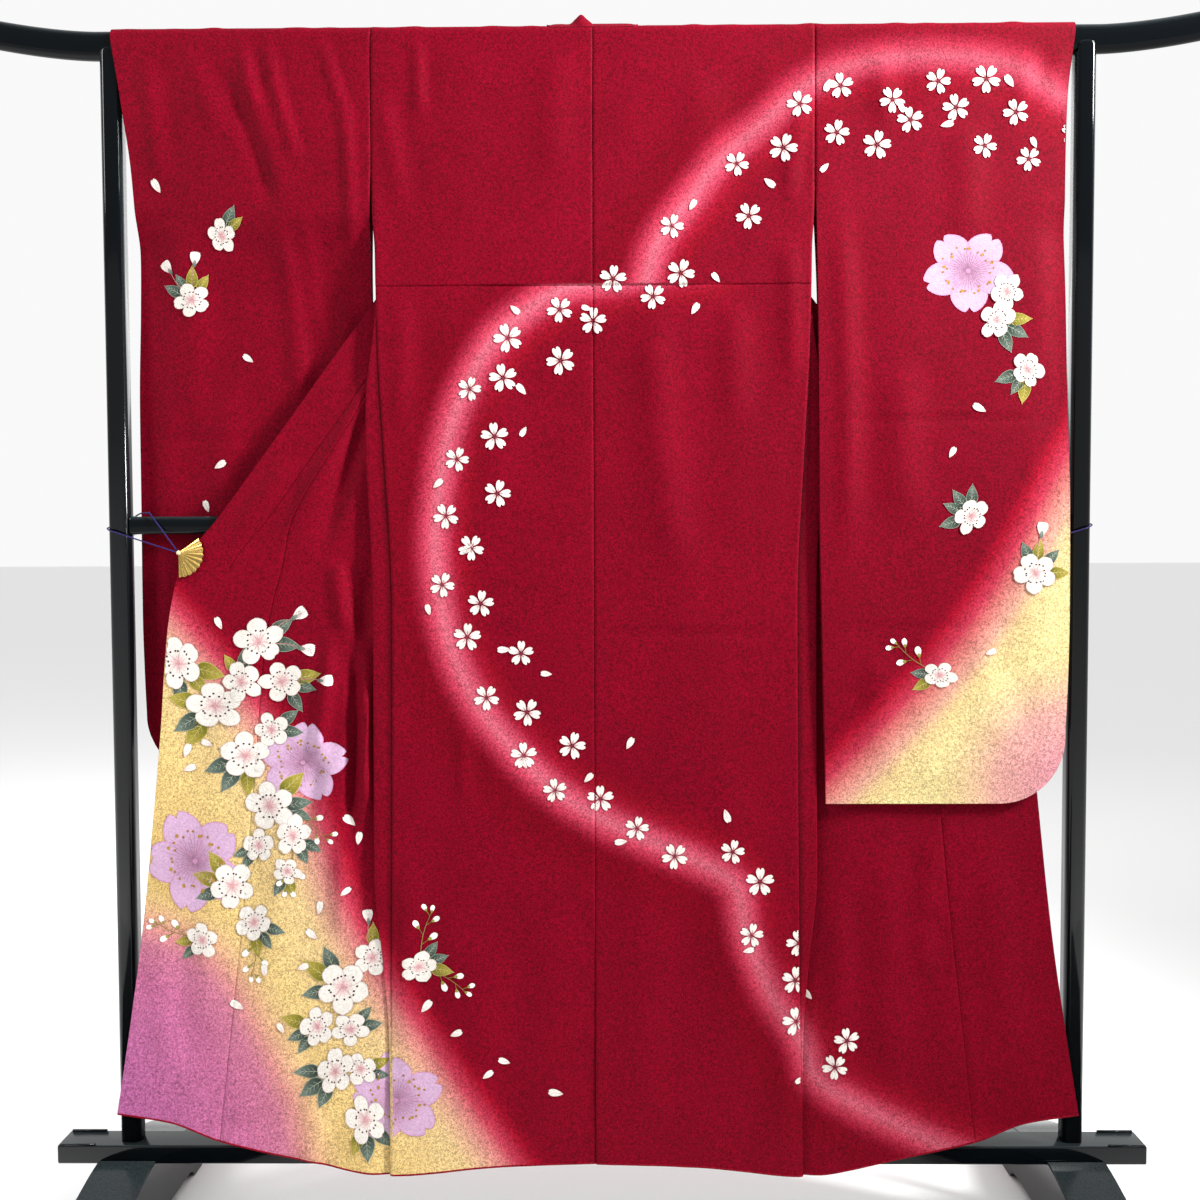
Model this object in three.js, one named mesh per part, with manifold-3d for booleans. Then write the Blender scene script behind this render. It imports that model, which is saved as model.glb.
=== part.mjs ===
// A furisode kimono hung by its shoulders on the bar of a lacquered kimono stand.
// Millimetres, +Z up, floor at Z = 0. The back of the kimono faces -Y, its left sleeve is at -X.
import * as THREE from "three";
import Module from "manifold-3d";
import { mergeVertices } from "three/addons/utils/BufferGeometryUtils.js";

const wasm = await Module();
wasm.setup();

// ---- driving dimensions ----
const GAP = 0.3;
const SEAM = 0.21;
const CLOTH = 1.6;

const POST_X = 671;
const POST_WIDTH = 29;
const POST_DEPTH = 26;
const POST_TOP = 1661;
const POST_CORNER = 8;

const BAR_Z = 1667;
const BAR_HEIGHT = 39;
const BAR_DEPTH = 21;
const BAR_HALF = 880;
const BAR_CURVE_FROM = 690;
const BAR_RISE = 27;

const CROSSBAR_Z = 1004.5;
const CROSSBAR_HEIGHT = 25;
const CROSSBAR_DEPTH = 18;

const BEAM_HALF = 771;
const BEAM_DEPTH = 46;
const BEAM_BOTTOM = 98.5;
const BEAM_HEIGHT = 26.5;
const BEAM_TOP = BEAM_BOTTOM + BEAM_HEIGHT;

const FOOT_WIDTH = 82;
const FOOT_HALF = 240;
const FOOT_SHOULDER = 104;
const FOOT_TIP = 34;
const FOOT_ARCH = 15;
const FOOT_PAD = 105;

const CENTRE_X = -5;
const HANG_Z = BAR_Z + BAR_HEIGHT / 2 - BAR_DEPTH / 2;
const LAP_RADIUS = 12.8;
const HEM_Z = 100;
const WRIST_OPENING = 230;
const SLEEVE_CORNER = 90;
const COLLAR_WIDTH = 69;
const COLLAR_END_Z = 935;
const SEAM_FOLD = 2.1;
const TURN_RADIUS = 2;
const FOLD_TOP_Z = 1555;
const TUCK_Z = 1332;
const TUCK_LIP = 1.4;
const NECK_HALF = 64;
const NECK_BEND = 0.95;
const SHOULDER_BEND = 0.04;

const CLIP_Z = 966;
const CLIP_OUT = 579;
const CLIP_TILT = (27 * Math.PI) / 180;
const FAN_RADIUS = 35;
const FAN_PLEATS = 9;
const FAN_SPREAD = (126 * Math.PI) / 180;
const FAN_WALL = 0.8;
const PLEAT = 0.9;
const BEAD_RADIUS = 3.3;
const JAW = 0.9;
const JAW_REACH = 34;
const JAW_WIDTH = 8;
const CORD = 2;

// Back panels: half width at the side edge and depth of the cloth, at each height.
const backRows = [
  { z: HANG_Z, side: 304.5, depth: -LAP_RADIUS },
  { z: 1500, side: 304, depth: -18.5 },
  { z: 1436, side: 303.5, depth: -21 },
  { z: 1381, side: 300, depth: -22.5 },
  { z: 1311, side: 299, depth: -24 },
  { z: 1231, side: 297, depth: -25 },
  { z: 1100, side: 290, depth: -26.5 },
  { z: 899, side: 281, depth: -28.5 },
  { z: 600, side: 283, depth: -30.5 },
  { z: HEM_Z, side: 290, depth: -33 },
];

// Front panels, as distances out from the back seam. The cloth runs in from its side edge to a
// fold behind the back panel, turns, and runs out again to the front edge that is drawn aside.
// turn: distance of the fold; turnY: its depth; free: front edge; freeY: its depth; ease: the run
// over which the cloth comes from the one depth to the other.
const frontRows = [
  { z: HANG_Z, turn: 27, turnY: 15, free: 47, freeY: 18.5, ease: 60 },
  { z: 1600, turn: 50, turnY: 15.2, free: 96, freeY: 18.5, ease: 60 },
  { z: 1550, turn: 62, turnY: 13.5, free: 132, freeY: 17, ease: 60 },
  { z: 1500, turn: 78, turnY: 10, free: 168.5, freeY: 13, ease: 60 },
  { z: 1400, turn: 104, turnY: 0, free: 241, freeY: 3, ease: 80 },
  { z: 1311, turn: 127, turnY: -11, free: 306, freeY: -8, ease: 90 },
  { z: 1231, turn: 151, turnY: -14, free: 364.6, freeY: -12, ease: 90 },
  { z: 1178, turn: 170, turnY: -15, free: 403, freeY: -14, ease: 90 },
  { z: 1100, turn: 194, turnY: -16, free: 460, freeY: -15, ease: 90 },
  { z: 1017, turn: 216, turnY: -16, free: 520.5, freeY: -15.5, ease: 90 },
  { z: COLLAR_END_Z, turn: 238, turnY: -14, free: 580, freeY: -16, ease: 100 },
  { z: 844, turn: 246, turnY: -10, free: 597, freeY: -18, ease: 110 },
  { z: 700, turn: 252, turnY: -10, free: 608, freeY: -20, ease: 120 },
  { z: 550, turn: 258, turnY: -16, free: 621, freeY: -24, ease: 100 },
  { z: 400, turn: 265, turnY: -21, free: 636, freeY: -27, ease: 80 },
  { z: 250, turn: 277, turnY: -25, free: 655, freeY: -30, ease: 60 },
  { z: HEM_Z, turn: 285, turnY: -28.2, free: 675, freeY: -33, ease: 40 },
];

// How far inside the front edge, measured level, the cloth of a front panel ends: at the collar's
// seam, and below the point of the overlap panel at the overlap's seam.
const insetRows = [
  { z: 1560, inset: 61 },
  { z: 1500, inset: 64 },
  { z: 1436, inset: 69 },
  { z: 1333.5, inset: 69 },
  { z: 1330.5, inset: 74 },
  { z: 1231, inset: 79 },
  { z: 1150, inset: 88 },
  { z: 1017, inset: 104 },
  { z: COLLAR_END_Z, inset: 142 },
  { z: 844, inset: 138 },
  { z: 700, inset: 135 },
  { z: 400, inset: 136 },
  { z: HEM_Z, inset: 144 },
];

// Depth of a front panel's side edge, down to where the side seam starts.
const frontSideRows = [
  { z: HANG_Z, depth: LAP_RADIUS },
  { z: 1600, depth: 12.5 },
  { z: 1500, depth: 10 },
  { z: 1436, depth: 5 },
  { z: 1381, depth: -3 },
  { z: 1330, depth: -12 },
  { z: 1290, depth: -21.5 },
];
const SIDE_SEAM_TOP = 1290;

// Height of the hem at each distance out from the back seam.
const hemRows = [
  { out: 0, z: 106 },
  { out: 140, z: 101 },
  { out: 288, z: 88 },
  { out: 425, z: 113 },
  { out: 530, z: 137 },
  { out: 600, z: 164 },
  { out: 675, z: 176 },
];

// Sleeves: inner and outer edge of each layer. in/out: x of the edges; backIn, backOut, frontIn,
// frontOut: depths of the layers there.
const leftSleeveRows = [
  { z: HANG_Z, in: -310, out: -668, backIn: -LAP_RADIUS, backOut: -13, frontIn: LAP_RADIUS, frontOut: 13 },
  { z: 1662, in: -310, out: -666, backIn: -12.5, backOut: -14.6, frontIn: 12.2, frontOut: 14.6 },
  { z: 1589, in: -310.5, out: -655, backIn: -15, backOut: -14.8, frontIn: 12.4, frontOut: 16 },
  { z: 1500, in: -311, out: -645, backIn: -18.5, backOut: -9, frontIn: 10, frontOut: 18 },
  { z: 1436, in: -312, out: -642, backIn: -20, backOut: -4, frontIn: 7, frontOut: 19 },
  { z: 1381, in: -313, out: -640, backIn: -8, backOut: 0, frontIn: 5, frontOut: 20 },
  { z: 1311, in: -315, out: -642, backIn: 2, backOut: 4, frontIn: 14, frontOut: 21 },
  { z: 1178, in: -316, out: -647, backIn: 8, backOut: 8, frontIn: 21, frontOut: 22 },
  { z: 1020, in: -317, out: -649, backIn: 12.5, backOut: 12.5, frontIn: 24, frontOut: 24 },
  { z: 843, in: -318, out: -650, backIn: 13, backOut: 13, frontIn: 24, frontOut: 24 },
  { z: 645, in: -320, out: -647, backIn: 14, backOut: 14, frontIn: 22, frontOut: 22 },
];
const rightSleeveRows = [
  { z: HANG_Z, in: 299.5, out: 655, backIn: -LAP_RADIUS, backOut: -13, frontIn: LAP_RADIUS, frontOut: 13 },
  { z: 1589, in: 299.5, out: 645, backIn: -15, backOut: -14, frontIn: 12.4, frontOut: 12 },
  { z: 1500, in: 300, out: 641, backIn: -18.5, backOut: -18, frontIn: 10, frontOut: 6 },
  { z: 1436, in: 301, out: 640, backIn: -21, backOut: -21, frontIn: 5, frontOut: -1 },
  { z: 1381, in: 302, out: 641, backIn: -23, backOut: -23, frontIn: -5, frontOut: -8 },
  { z: 1311, in: 303, out: 642, backIn: -26, backOut: -26, frontIn: -15, frontOut: -16 },
  { z: 1178, in: 304, out: 644, backIn: -31, backOut: -31, frontIn: -22, frontOut: -22 },
  { z: 1020, in: 305, out: 648, backIn: -35, backOut: -35, frontIn: -27, frontOut: -27 },
  { z: 843, in: 309, out: 649, backIn: -36, backOut: -36, frontIn: -28, frontOut: -28 },
  { z: 615, in: 315, out: 645, backIn: -35, backOut: -35, frontIn: -29, frontOut: -29 },
];

// Collar round the neck: four points of each cross-section, from the seam over the bar to the free
// edge, given as distance out from the back seam, depth and height.
const napeSection = [[-9.4, 1684.5], [3, 1693], [14.6, 1680], [17, 1646]];
const neckSections = [
  [[57, -9.2, 1684.8], [54, 4, 1692.5], [52, 14.8, 1678], [54, 18, 1641]],
  [[62.6, -2.4, 1690.6], [58, 8, 1690.5], [54, 15.4, 1674], [60, 18.2, 1637]],
  [[62.8, 7, 1688.6], [57.6, 13.4, 1684], [50, 16.8, 1662], [68, 18.6, 1630]],
  [[62.8, 12.2, 1681.5], [56.5, 15.2, 1677], [49, 17.2, 1656], [73, 19, 1625]],
  [[62.8, 13.8, 1668], [55, 16.4, 1663], [48, 17.6, 1650], [78, 19.4, 1619]],
  [[62.8, 14.2, 1640], [57, 16.4, 1637], [56, 18, 1628], [90, 19.6, 1605]],
  [[63, 15.5, 1600], [65, 17.1, 1599], [76, 18.4, 1592], [106, 19, 1581]],
  [[65.4, 14.6, 1560], [72, 15.2, 1559], [88, 16.2, 1556], [129, 17.2, 1553]],
];
const NAPE_OUT = [0, 8, 15.5, 23, 31, 44];
const NAPE_PEAK_OUT = 15.5;
const NAPE_PEAK_HEIGHT = 14;

// ---- mesh helpers ----

// A smooth curve through one column of a table, which never overshoots its rows.
function curve(table, at, key) {
  const rows = [...table].sort((a, b) => a[at] - b[at]);
  const x = rows.map((row) => row[at]);
  const y = rows.map((row) => row[key]);
  const slopes = x.slice(1).map((next, i) => (y[i + 1] - y[i]) / (next - x[i]));
  const tangents = x.map((_, i) => {
    const before = slopes[Math.max(0, i - 1)];
    const after = slopes[Math.min(slopes.length - 1, i)];
    return before * after <= 0 ? 0 : (2 * before * after) / (before + after);
  });
  return (value) => {
    const v = Math.min(x.at(-1), Math.max(x[0], value));
    let i = x.findIndex((next) => next > v) - 1;
    if (i < 0) i = x.length - 2;
    const step = x[i + 1] - x[i];
    const t = (v - x[i]) / step;
    const h = t * t * (3 - 2 * t);
    const rise = (t * t * t - 2 * t * t + t) * tangents[i] + (t * t * t - t * t) * tangents[i + 1];
    return y[i] + (y[i + 1] - y[i]) * h + rise * step;
  };
}

const smooth = (t) => {
  const c = Math.min(1, Math.max(0, t));
  return c * c * (3 - 2 * c);
};

const mix = (a, b, t) => a + (b - a) * t;

// A closed mesh from points and quads or triangles, turned so that its faces point out.
function closedMesh(points, faces) {
  const triangles = faces.flatMap((f) => (f.length === 4 ? [[f[0], f[1], f[2]], [f[0], f[2], f[3]]] : [f]));
  let volume = 0;
  for (const [a, b, c] of triangles) {
    volume += points[a].dot(new THREE.Vector3().crossVectors(points[b], points[c]));
  }
  const facing = volume < 0 ? triangles.map(([a, b, c]) => [a, c, b]) : triangles;
  const geometry = new THREE.BufferGeometry();
  geometry.setAttribute("position", new THREE.Float32BufferAttribute(points.flatMap((p) => p.toArray()), 3));
  geometry.setIndex(facing.flat());
  geometry.computeVertexNormals();
  return geometry;
}

// A wall of even thickness whose middle surface runs through a grid of points.
function wall(grid, thickness) {
  const rows = grid.length;
  const columns = grid[0].length;
  const front = [];
  const back = [];
  for (let r = 0; r < rows; r += 1) {
    for (let c = 0; c < columns; c += 1) {
      const [above, below] = [grid[Math.max(0, r - 1)][c], grid[Math.min(rows - 1, r + 1)][c]];
      const [before, after] = [grid[r][Math.max(0, c - 1)], grid[r][Math.min(columns - 1, c + 1)]];
      const down = new THREE.Vector3().subVectors(below, above);
      const across = new THREE.Vector3().subVectors(after, before);
      const normal = new THREE.Vector3().crossVectors(across, down).normalize();
      front.push(grid[r][c].clone().addScaledVector(normal, thickness / 2));
      back.push(grid[r][c].clone().addScaledVector(normal, -thickness / 2));
    }
  }
  const shift = rows * columns;
  const faces = [];
  const at = (r, c) => r * columns + c;
  for (let r = 0; r < rows - 1; r += 1) {
    for (let c = 0; c < columns - 1; c += 1) {
      const quad = [at(r, c), at(r, c + 1), at(r + 1, c + 1), at(r + 1, c)];
      faces.push(quad);
      faces.push(quad.map((i) => i + shift).reverse());
    }
  }
  const rim = [];
  for (let c = 0; c < columns - 1; c += 1) rim.push(at(0, c));
  for (let r = 0; r < rows - 1; r += 1) rim.push(at(r, columns - 1));
  for (let c = columns - 1; c > 0; c -= 1) rim.push(at(rows - 1, c));
  for (let r = rows - 1; r > 0; r -= 1) rim.push(at(r, 0));
  rim.forEach((a, i) => {
    const b = rim[(i + 1) % rim.length];
    faces.push([b, a, a + shift, b + shift]);
  });
  return closedMesh([...front, ...back], faces);
}

// A solid through rings of the same number of points, closed by flat ends.
function loft(rings) {
  const count = rings[0].length;
  const points = rings.flat();
  const faces = [];
  for (let r = 0; r < rings.length - 1; r += 1) {
    for (let i = 0; i < count; i += 1) {
      const j = (i + 1) % count;
      faces.push([r * count + i, r * count + j, (r + 1) * count + j, (r + 1) * count + i]);
    }
  }
  for (const [ring, reversed] of [[0, true], [rings.length - 1, false]]) {
    const middle = rings[ring].reduce((sum, p) => sum.add(p), new THREE.Vector3()).divideScalar(count);
    points.push(middle);
    for (let i = 0; i < count; i += 1) {
      const pair = [ring * count + i, ring * count + ((i + 1) % count)];
      if (reversed) pair.reverse();
      faces.push([...pair, points.length - 1]);
    }
  }
  return closedMesh(points, faces);
}

// A rectangle with rounded corners as a list of [x, y] points.
function roundedSection(width, height, radius, perCorner) {
  const points = [];
  for (let corner = 0; corner < 4; corner += 1) {
    const sx = corner === 0 || corner === 3 ? 1 : -1;
    const sy = corner < 2 ? 1 : -1;
    for (let i = 0; i <= perCorner; i += 1) {
      const angle = ((corner + i / perCorner) * Math.PI) / 2;
      const x = sx * (width / 2 - radius) + radius * Math.cos(angle);
      const y = sy * (height / 2 - radius) + radius * Math.sin(angle);
      points.push([x, y]);
    }
  }
  return points;
}

function toSolid(geometry) {
  const plain = geometry.clone();
  plain.deleteAttribute("normal");
  plain.deleteAttribute("uv");
  const merged = mergeVertices(plain, 1e-4);
  return new wasm.Manifold(new wasm.Mesh({
    numProp: 3,
    vertProperties: new Float32Array(merged.attributes.position.array),
    triVerts: new Uint32Array(merged.index.array),
  }));
}

function fromSolid(solid) {
  const { vertProperties, triVerts } = solid.getMesh();
  const geometry = new THREE.BufferGeometry();
  geometry.setAttribute("position", new THREE.BufferAttribute(vertProperties, 3));
  geometry.setIndex(new THREE.BufferAttribute(triVerts, 1));
  return geometry;
}

function block(x0, x1, y0, y1, z0, z1) {
  const geometry = new THREE.BoxGeometry(x1 - x0, y1 - y0, z1 - z0);
  geometry.translate((x0 + x1) / 2, (y0 + y1) / 2, (z0 + z1) / 2);
  return geometry;
}

// ---- materials ----
const silk = () => new THREE.MeshStandardMaterial({ color: 0xa80f2e, roughness: 0.6, side: THREE.DoubleSide });
const lacquer = () => new THREE.MeshStandardMaterial({ color: 0x0b1112, roughness: 0.15 });
const gilt = () => new THREE.MeshStandardMaterial({ color: 0xd9b45a, roughness: 0.3, metalness: 1 });
const pearl = () => new THREE.MeshStandardMaterial({ color: 0xefe2c4, roughness: 0.25 });
const violet = () => new THREE.MeshStandardMaterial({ color: 0x3a1a78, roughness: 0.7 });

const kimonoOnStand = new THREE.Group();

function add(name, geometry, material) {
  const mesh = new THREE.Mesh(geometry, material);
  mesh.name = name;
  kimonoOnStand.add(mesh);
  return mesh;
}

// ---- stand ----

// The top bar: an oval rod, straight between the posts and swept up at both ends.
function topBar() {
  const section = roundedSection(BAR_DEPTH, BAR_HEIGHT, BAR_DEPTH / 2 - 0.5, 4);
  const stations = [-1, 0.965, 0.93, 0.88, 0.84, BAR_CURVE_FROM / BAR_HALF].map((s) => Math.abs(s) * BAR_HALF);
  const xs = [...stations.map((x) => -x), ...stations.reverse()];
  return loft(xs.map((x) => {
    const beyond = Math.max(0, Math.abs(x) - BAR_CURVE_FROM) / (BAR_HALF - BAR_CURVE_FROM);
    const lift = BAR_RISE * beyond ** 1.6;
    const end = Math.abs(x) > BAR_HALF - 1 ? 0.82 : 1;
    return section.map(([y, z]) => new THREE.Vector3(x, y * end, BAR_Z + lift + z * end));
  }));
}

// A post stands on the beam, and the bar lies in a slot cut down into its top.
function post(x) {
  const section = roundedSection(POST_WIDTH, POST_DEPTH, POST_CORNER, 3);
  const ring = (z, inset) => section.map(([px, py]) => {
    const narrow = (POST_WIDTH - inset * 2) / POST_WIDTH;
    return new THREE.Vector3(x + px * narrow, py, z);
  });
  const levels = [[BEAM_TOP + GAP, 0], [POST_TOP - 6, 0], [POST_TOP - 2, 2], [POST_TOP, 6]];
  const shaft = loft(levels.map(([z, inset]) => ring(z, inset)));
  const slotHalf = BAR_DEPTH / 2 + GAP;
  const slotFloor = BAR_Z - BAR_HEIGHT / 2 - GAP;
  const slot = block(x - POST_WIDTH, x + POST_WIDTH, -slotHalf, slotHalf, slotFloor, POST_TOP + 5);
  return fromSolid(toSolid(shaft).subtract(toSolid(slot)));
}

// The crossbar is let in between the posts and flares a little where it meets them.
function crossbar() {
  const section = roundedSection(CROSSBAR_DEPTH, CROSSBAR_HEIGHT, 6, 2);
  const half = POST_X - POST_WIDTH / 2 - GAP;
  const xs = [-half, -half + 3, -half + 9, half - 9, half - 3, half];
  const flares = [1.16, 1.06, 1, 1, 1.06, 1.16];
  return loft(xs.map((x, i) => section.map(([y, z]) => (
    new THREE.Vector3(x, y * flares[i], CROSSBAR_Z + z * flares[i])
  ))));
}

function beam() {
  const section = roundedSection(BEAM_DEPTH, BEAM_HEIGHT, 2.5, 2);
  const ends = [[BEAM_HALF, 0.94], [BEAM_HALF - 1.5, 1]];
  const stations = [...ends.map(([x, s]) => [-x, s]), ...ends.reverse()];
  return loft(stations.map(([x, s]) => section.map(([y, z]) => (
    new THREE.Vector3(x, y * s, BEAM_BOTTOM + BEAM_HEIGHT / 2 + z * s)
  ))));
}

// A foot: a wide board whose top slopes down to both tips, hollowed under its middle, with a
// notch in its back in which the beam lies.
function foot(x) {
  const notch = BEAM_DEPTH / 2 + GAP;
  const half = [
    [notch, BEAM_BOTTOM - GAP],
    [notch, FOOT_SHOULDER],
    [FOOT_HALF * 0.62, 75],
    [FOOT_HALF * 0.87, 52],
    [FOOT_HALF - 8, FOOT_TIP + 6],
    [FOOT_HALF, FOOT_TIP - 6],
    [FOOT_HALF, 3],
    [FOOT_HALF - 3, 0],
    [FOOT_HALF - FOOT_PAD, 0],
    [FOOT_HALF - FOOT_PAD - 14, FOOT_ARCH * 0.8],
    [FOOT_HALF - FOOT_PAD - 40, FOOT_ARCH],
  ];
  const outline = new THREE.Shape([
    ...half.map(([y, z]) => new THREE.Vector2(y, z)),
    ...[...half].reverse().map(([y, z]) => new THREE.Vector2(-y, z)),
  ]);
  const bevel = 1.5;
  const geometry = new THREE.ExtrudeGeometry(outline, {
    depth: FOOT_WIDTH - 2 * bevel,
    bevelThickness: bevel,
    bevelSize: bevel,
    bevelOffset: -bevel,
    bevelSegments: 1,
  });
  geometry.rotateX(Math.PI / 2);
  geometry.rotateZ(Math.PI / 2);
  geometry.translate(x - FOOT_WIDTH / 2 + bevel, 0, 0);
  return geometry;
}

add("stand_bar", topBar(), lacquer());
add("stand_crossbar", crossbar(), lacquer());
add("stand_beam", beam(), lacquer());
for (const [side, x] of [["left", -POST_X], ["right", POST_X]]) {
  add(`stand_post_${side}`, post(x), lacquer());
  add(`stand_foot_${side}`, foot(x), lacquer());
}

// ---- hanging cloth ----

const backSide = curve(backRows, "z", "side");
const backDepth = curve(backRows, "z", "depth");
const frontSideDepth = curve(frontSideRows, "z", "depth");
const hemHeight = curve(hemRows, "out", "z");
const front = Object.fromEntries(
  ["turn", "turnY", "free", "freeY", "ease"].map((key) => [key, curve(frontRows, "z", key)]),
);

const frontInset = curve(insetRows, "z", "inset");

// Rows bent over the bar from its crest (lap 0 to 1), then one row for each height.
function rowsDown(heights) {
  const bent = [0, 0.34, 0.67].map((lap) => ({ height: HANG_Z, lap }));
  return [...bent, ...heights.map((height) => ({ height, lap: 1 }))];
}

// Where a row lies on the bar's shoulder: its height, and how far round to the side it has come.
function lapAt(row, startAngle) {
  if (row.lap === 1) return { z: row.height, bend: 1 };
  const angle = mix(startAngle, Math.PI / 2, row.lap);
  return { z: HANG_Z + LAP_RADIUS * Math.cos(angle), bend: Math.sin(angle) };
}

// A point of a body panel, with the hem let up or down to the hem line.
function bodyPoint(side, out, depth, row, startAngle = SHOULDER_BEND) {
  const { z, bend } = lapAt(row, startAngle);
  const fall = ((HANG_Z - row.height) / (HANG_Z - HEM_Z)) ** 3;
  return new THREE.Vector3(CENTRE_X + side * out, depth * bend, z + fall * (hemHeight(out) - HEM_Z));
}

const upperHeights = [HANG_Z, 1640, 1600, 1560, 1500, 1436, 1381, TUCK_Z + 1.5];
const lowerHeights = [TUCK_Z - 1.5, SIDE_SEAM_TOP, 1231, 1150, 1060, COLLAR_END_Z + GAP, COLLAR_END_Z - GAP,
  844, 700, 550, 400, 250, HEM_Z];
const bodyHeights = [...upperHeights, ...lowerHeights];

// Back panel: from the back seam to the side edge, cut down at the neck, tucked at the waist.
function backPanel(side) {
  const columns = [0, 0.1, 0.19, 0.2075, 0.225, 0.5, 0.75, 1];
  return wall(rowsDown(bodyHeights).map((row) => columns.map((t) => {
    const out = mix(GAP / 2, backSide(row.height) - GAP, t);
    const startAngle = mix(NECK_BEND, SHOULDER_BEND, smooth((out - NECK_HALF + 6) / 10));
    const lip = row.height > TUCK_Z ? TUCK_LIP * smooth((1436 - row.height) / 100) : 0;
    return bodyPoint(side, out, backDepth(row.height) - lip, row, startAngle);
  })), CLOTH);
}

// The depth of the outer run of a front panel, from the fold to the front edge.
function outerDepth(height, out) {
  const from = front.turnY(height) + TURN_RADIUS;
  return mix(from, front.freeY(height), smooth((out - front.turn(height)) / front.ease(height)));
}

function sideEdgeDepth(height) {
  return height >= SIDE_SEAM_TOP ? frontSideDepth(height) : backDepth(height) + SEAM_FOLD;
}

// One cross-section of a front panel: in from the side edge to the fold, round it, and out again.
// Above the point where the fold leaves the panel, it runs straight to the collar seam.
function frontSection(height) {
  const sideEdge = backSide(height) - 3 * GAP;
  const edgeDepth = sideEdgeDepth(height);
  const folded = height < FOLD_TOP_Z;
  const turn = folded ? front.turn(height) : NECK_HALF + 12;
  const turnDepth = front.turnY(height);
  const inner = [0, 0.25, 0.5, 0.75].map((t) => [
    mix(sideEdge, turn + TURN_RADIUS, t),
    mix(edgeDepth, turnDepth - TURN_RADIUS, smooth(t * 1.3)),
  ]);
  if (!folded) {
    const straight = [0, 0.15, 0.3, 0.45, 0.6, 0.7, 0.8, 0.9, 1].map((t) => [
      mix(turn, NECK_HALF + GAP, t),
      turnDepth - TURN_RADIUS,
    ]);
    return [...inner, ...straight];
  }
  const round = [-0.45, 0, 0.45].map((angle) => [
    turn + TURN_RADIUS - TURN_RADIUS * Math.cos(angle * Math.PI),
    turnDepth + TURN_RADIUS * Math.sin(angle * Math.PI),
  ]);
  const seam = front.free(height) - frontInset(height) - SEAM;
  const outer = [0.12, 0.26, 0.42, 0.58, 0.78, 1].map((t) => {
    const out = mix(turn, seam, t);
    return [out, outerDepth(height, out)];
  });
  return [...inner, ...round, ...outer];
}

function frontPanel(side) {
  return wall(rowsDown(bodyHeights).map((row) => (
    frontSection(row.height).map(([out, depth]) => bodyPoint(side, out, depth, row))
  )), CLOTH);
}

// A level strip of cloth on the outer run of a front panel.
function outerStrip(side, height, from, to, columns) {
  return Array.from({ length: columns + 1 }, (_, i) => {
    const out = mix(from, to, i / columns);
    return bodyPoint(side, out, outerDepth(height, out), { height, lap: 1 });
  });
}

// Overlap panel: a long wedge beside the collar, full width below the collar's end.
function overlapPanel(side) {
  return wall(lowerHeights.map((height) => {
    const edge = front.free(height);
    const collarSide = height > COLLAR_END_Z ? COLLAR_WIDTH + SEAM : 0;
    return outerStrip(side, height, edge - frontInset(height) + SEAM, edge - collarSide, 3);
  }), CLOTH);
}

// The collar: one long band, from the end of one front edge round the neck to the end of the other.
function collar() {
  const columns = 9;
  const around = (side, points) => {
    const knots = points.map(([out, y, z]) => new THREE.Vector3(CENTRE_X + side * out, y, z));
    return new THREE.CatmullRomCurve3(knots).getPoints(columns);
  };
  const half = (side) => {
    const nape = NAPE_OUT.map((out) => {
      const near = Math.max(0, 1 - Math.abs(out - NAPE_PEAK_OUT) / NAPE_PEAK_OUT);
      const peak = side < 0 ? near * NAPE_PEAK_HEIGHT : 0;
      return around(side, napeSection.map(([y, z], i) => [out, y, z + (i === 1 ? peak : 0)]));
    });
    const neck = neckSections.map((points) => around(side, points));
    const edgeHeights = bodyHeights.filter((height) => height <= 1500 && height > COLLAR_END_Z);
    const edges = edgeHeights.map((height) => {
      const edge = front.free(height);
      const inset = Math.min(COLLAR_WIDTH, frontInset(height)) - SEAM;
      return outerStrip(side, height + (height < COLLAR_END_Z + 1 ? 1 : 0), edge - inset, edge, columns);
    });
    return [...nape, ...neck, ...edges];
  };
  return wall([...half(-1).reverse(), ...half(1).slice(1)], CLOTH);
}

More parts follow.
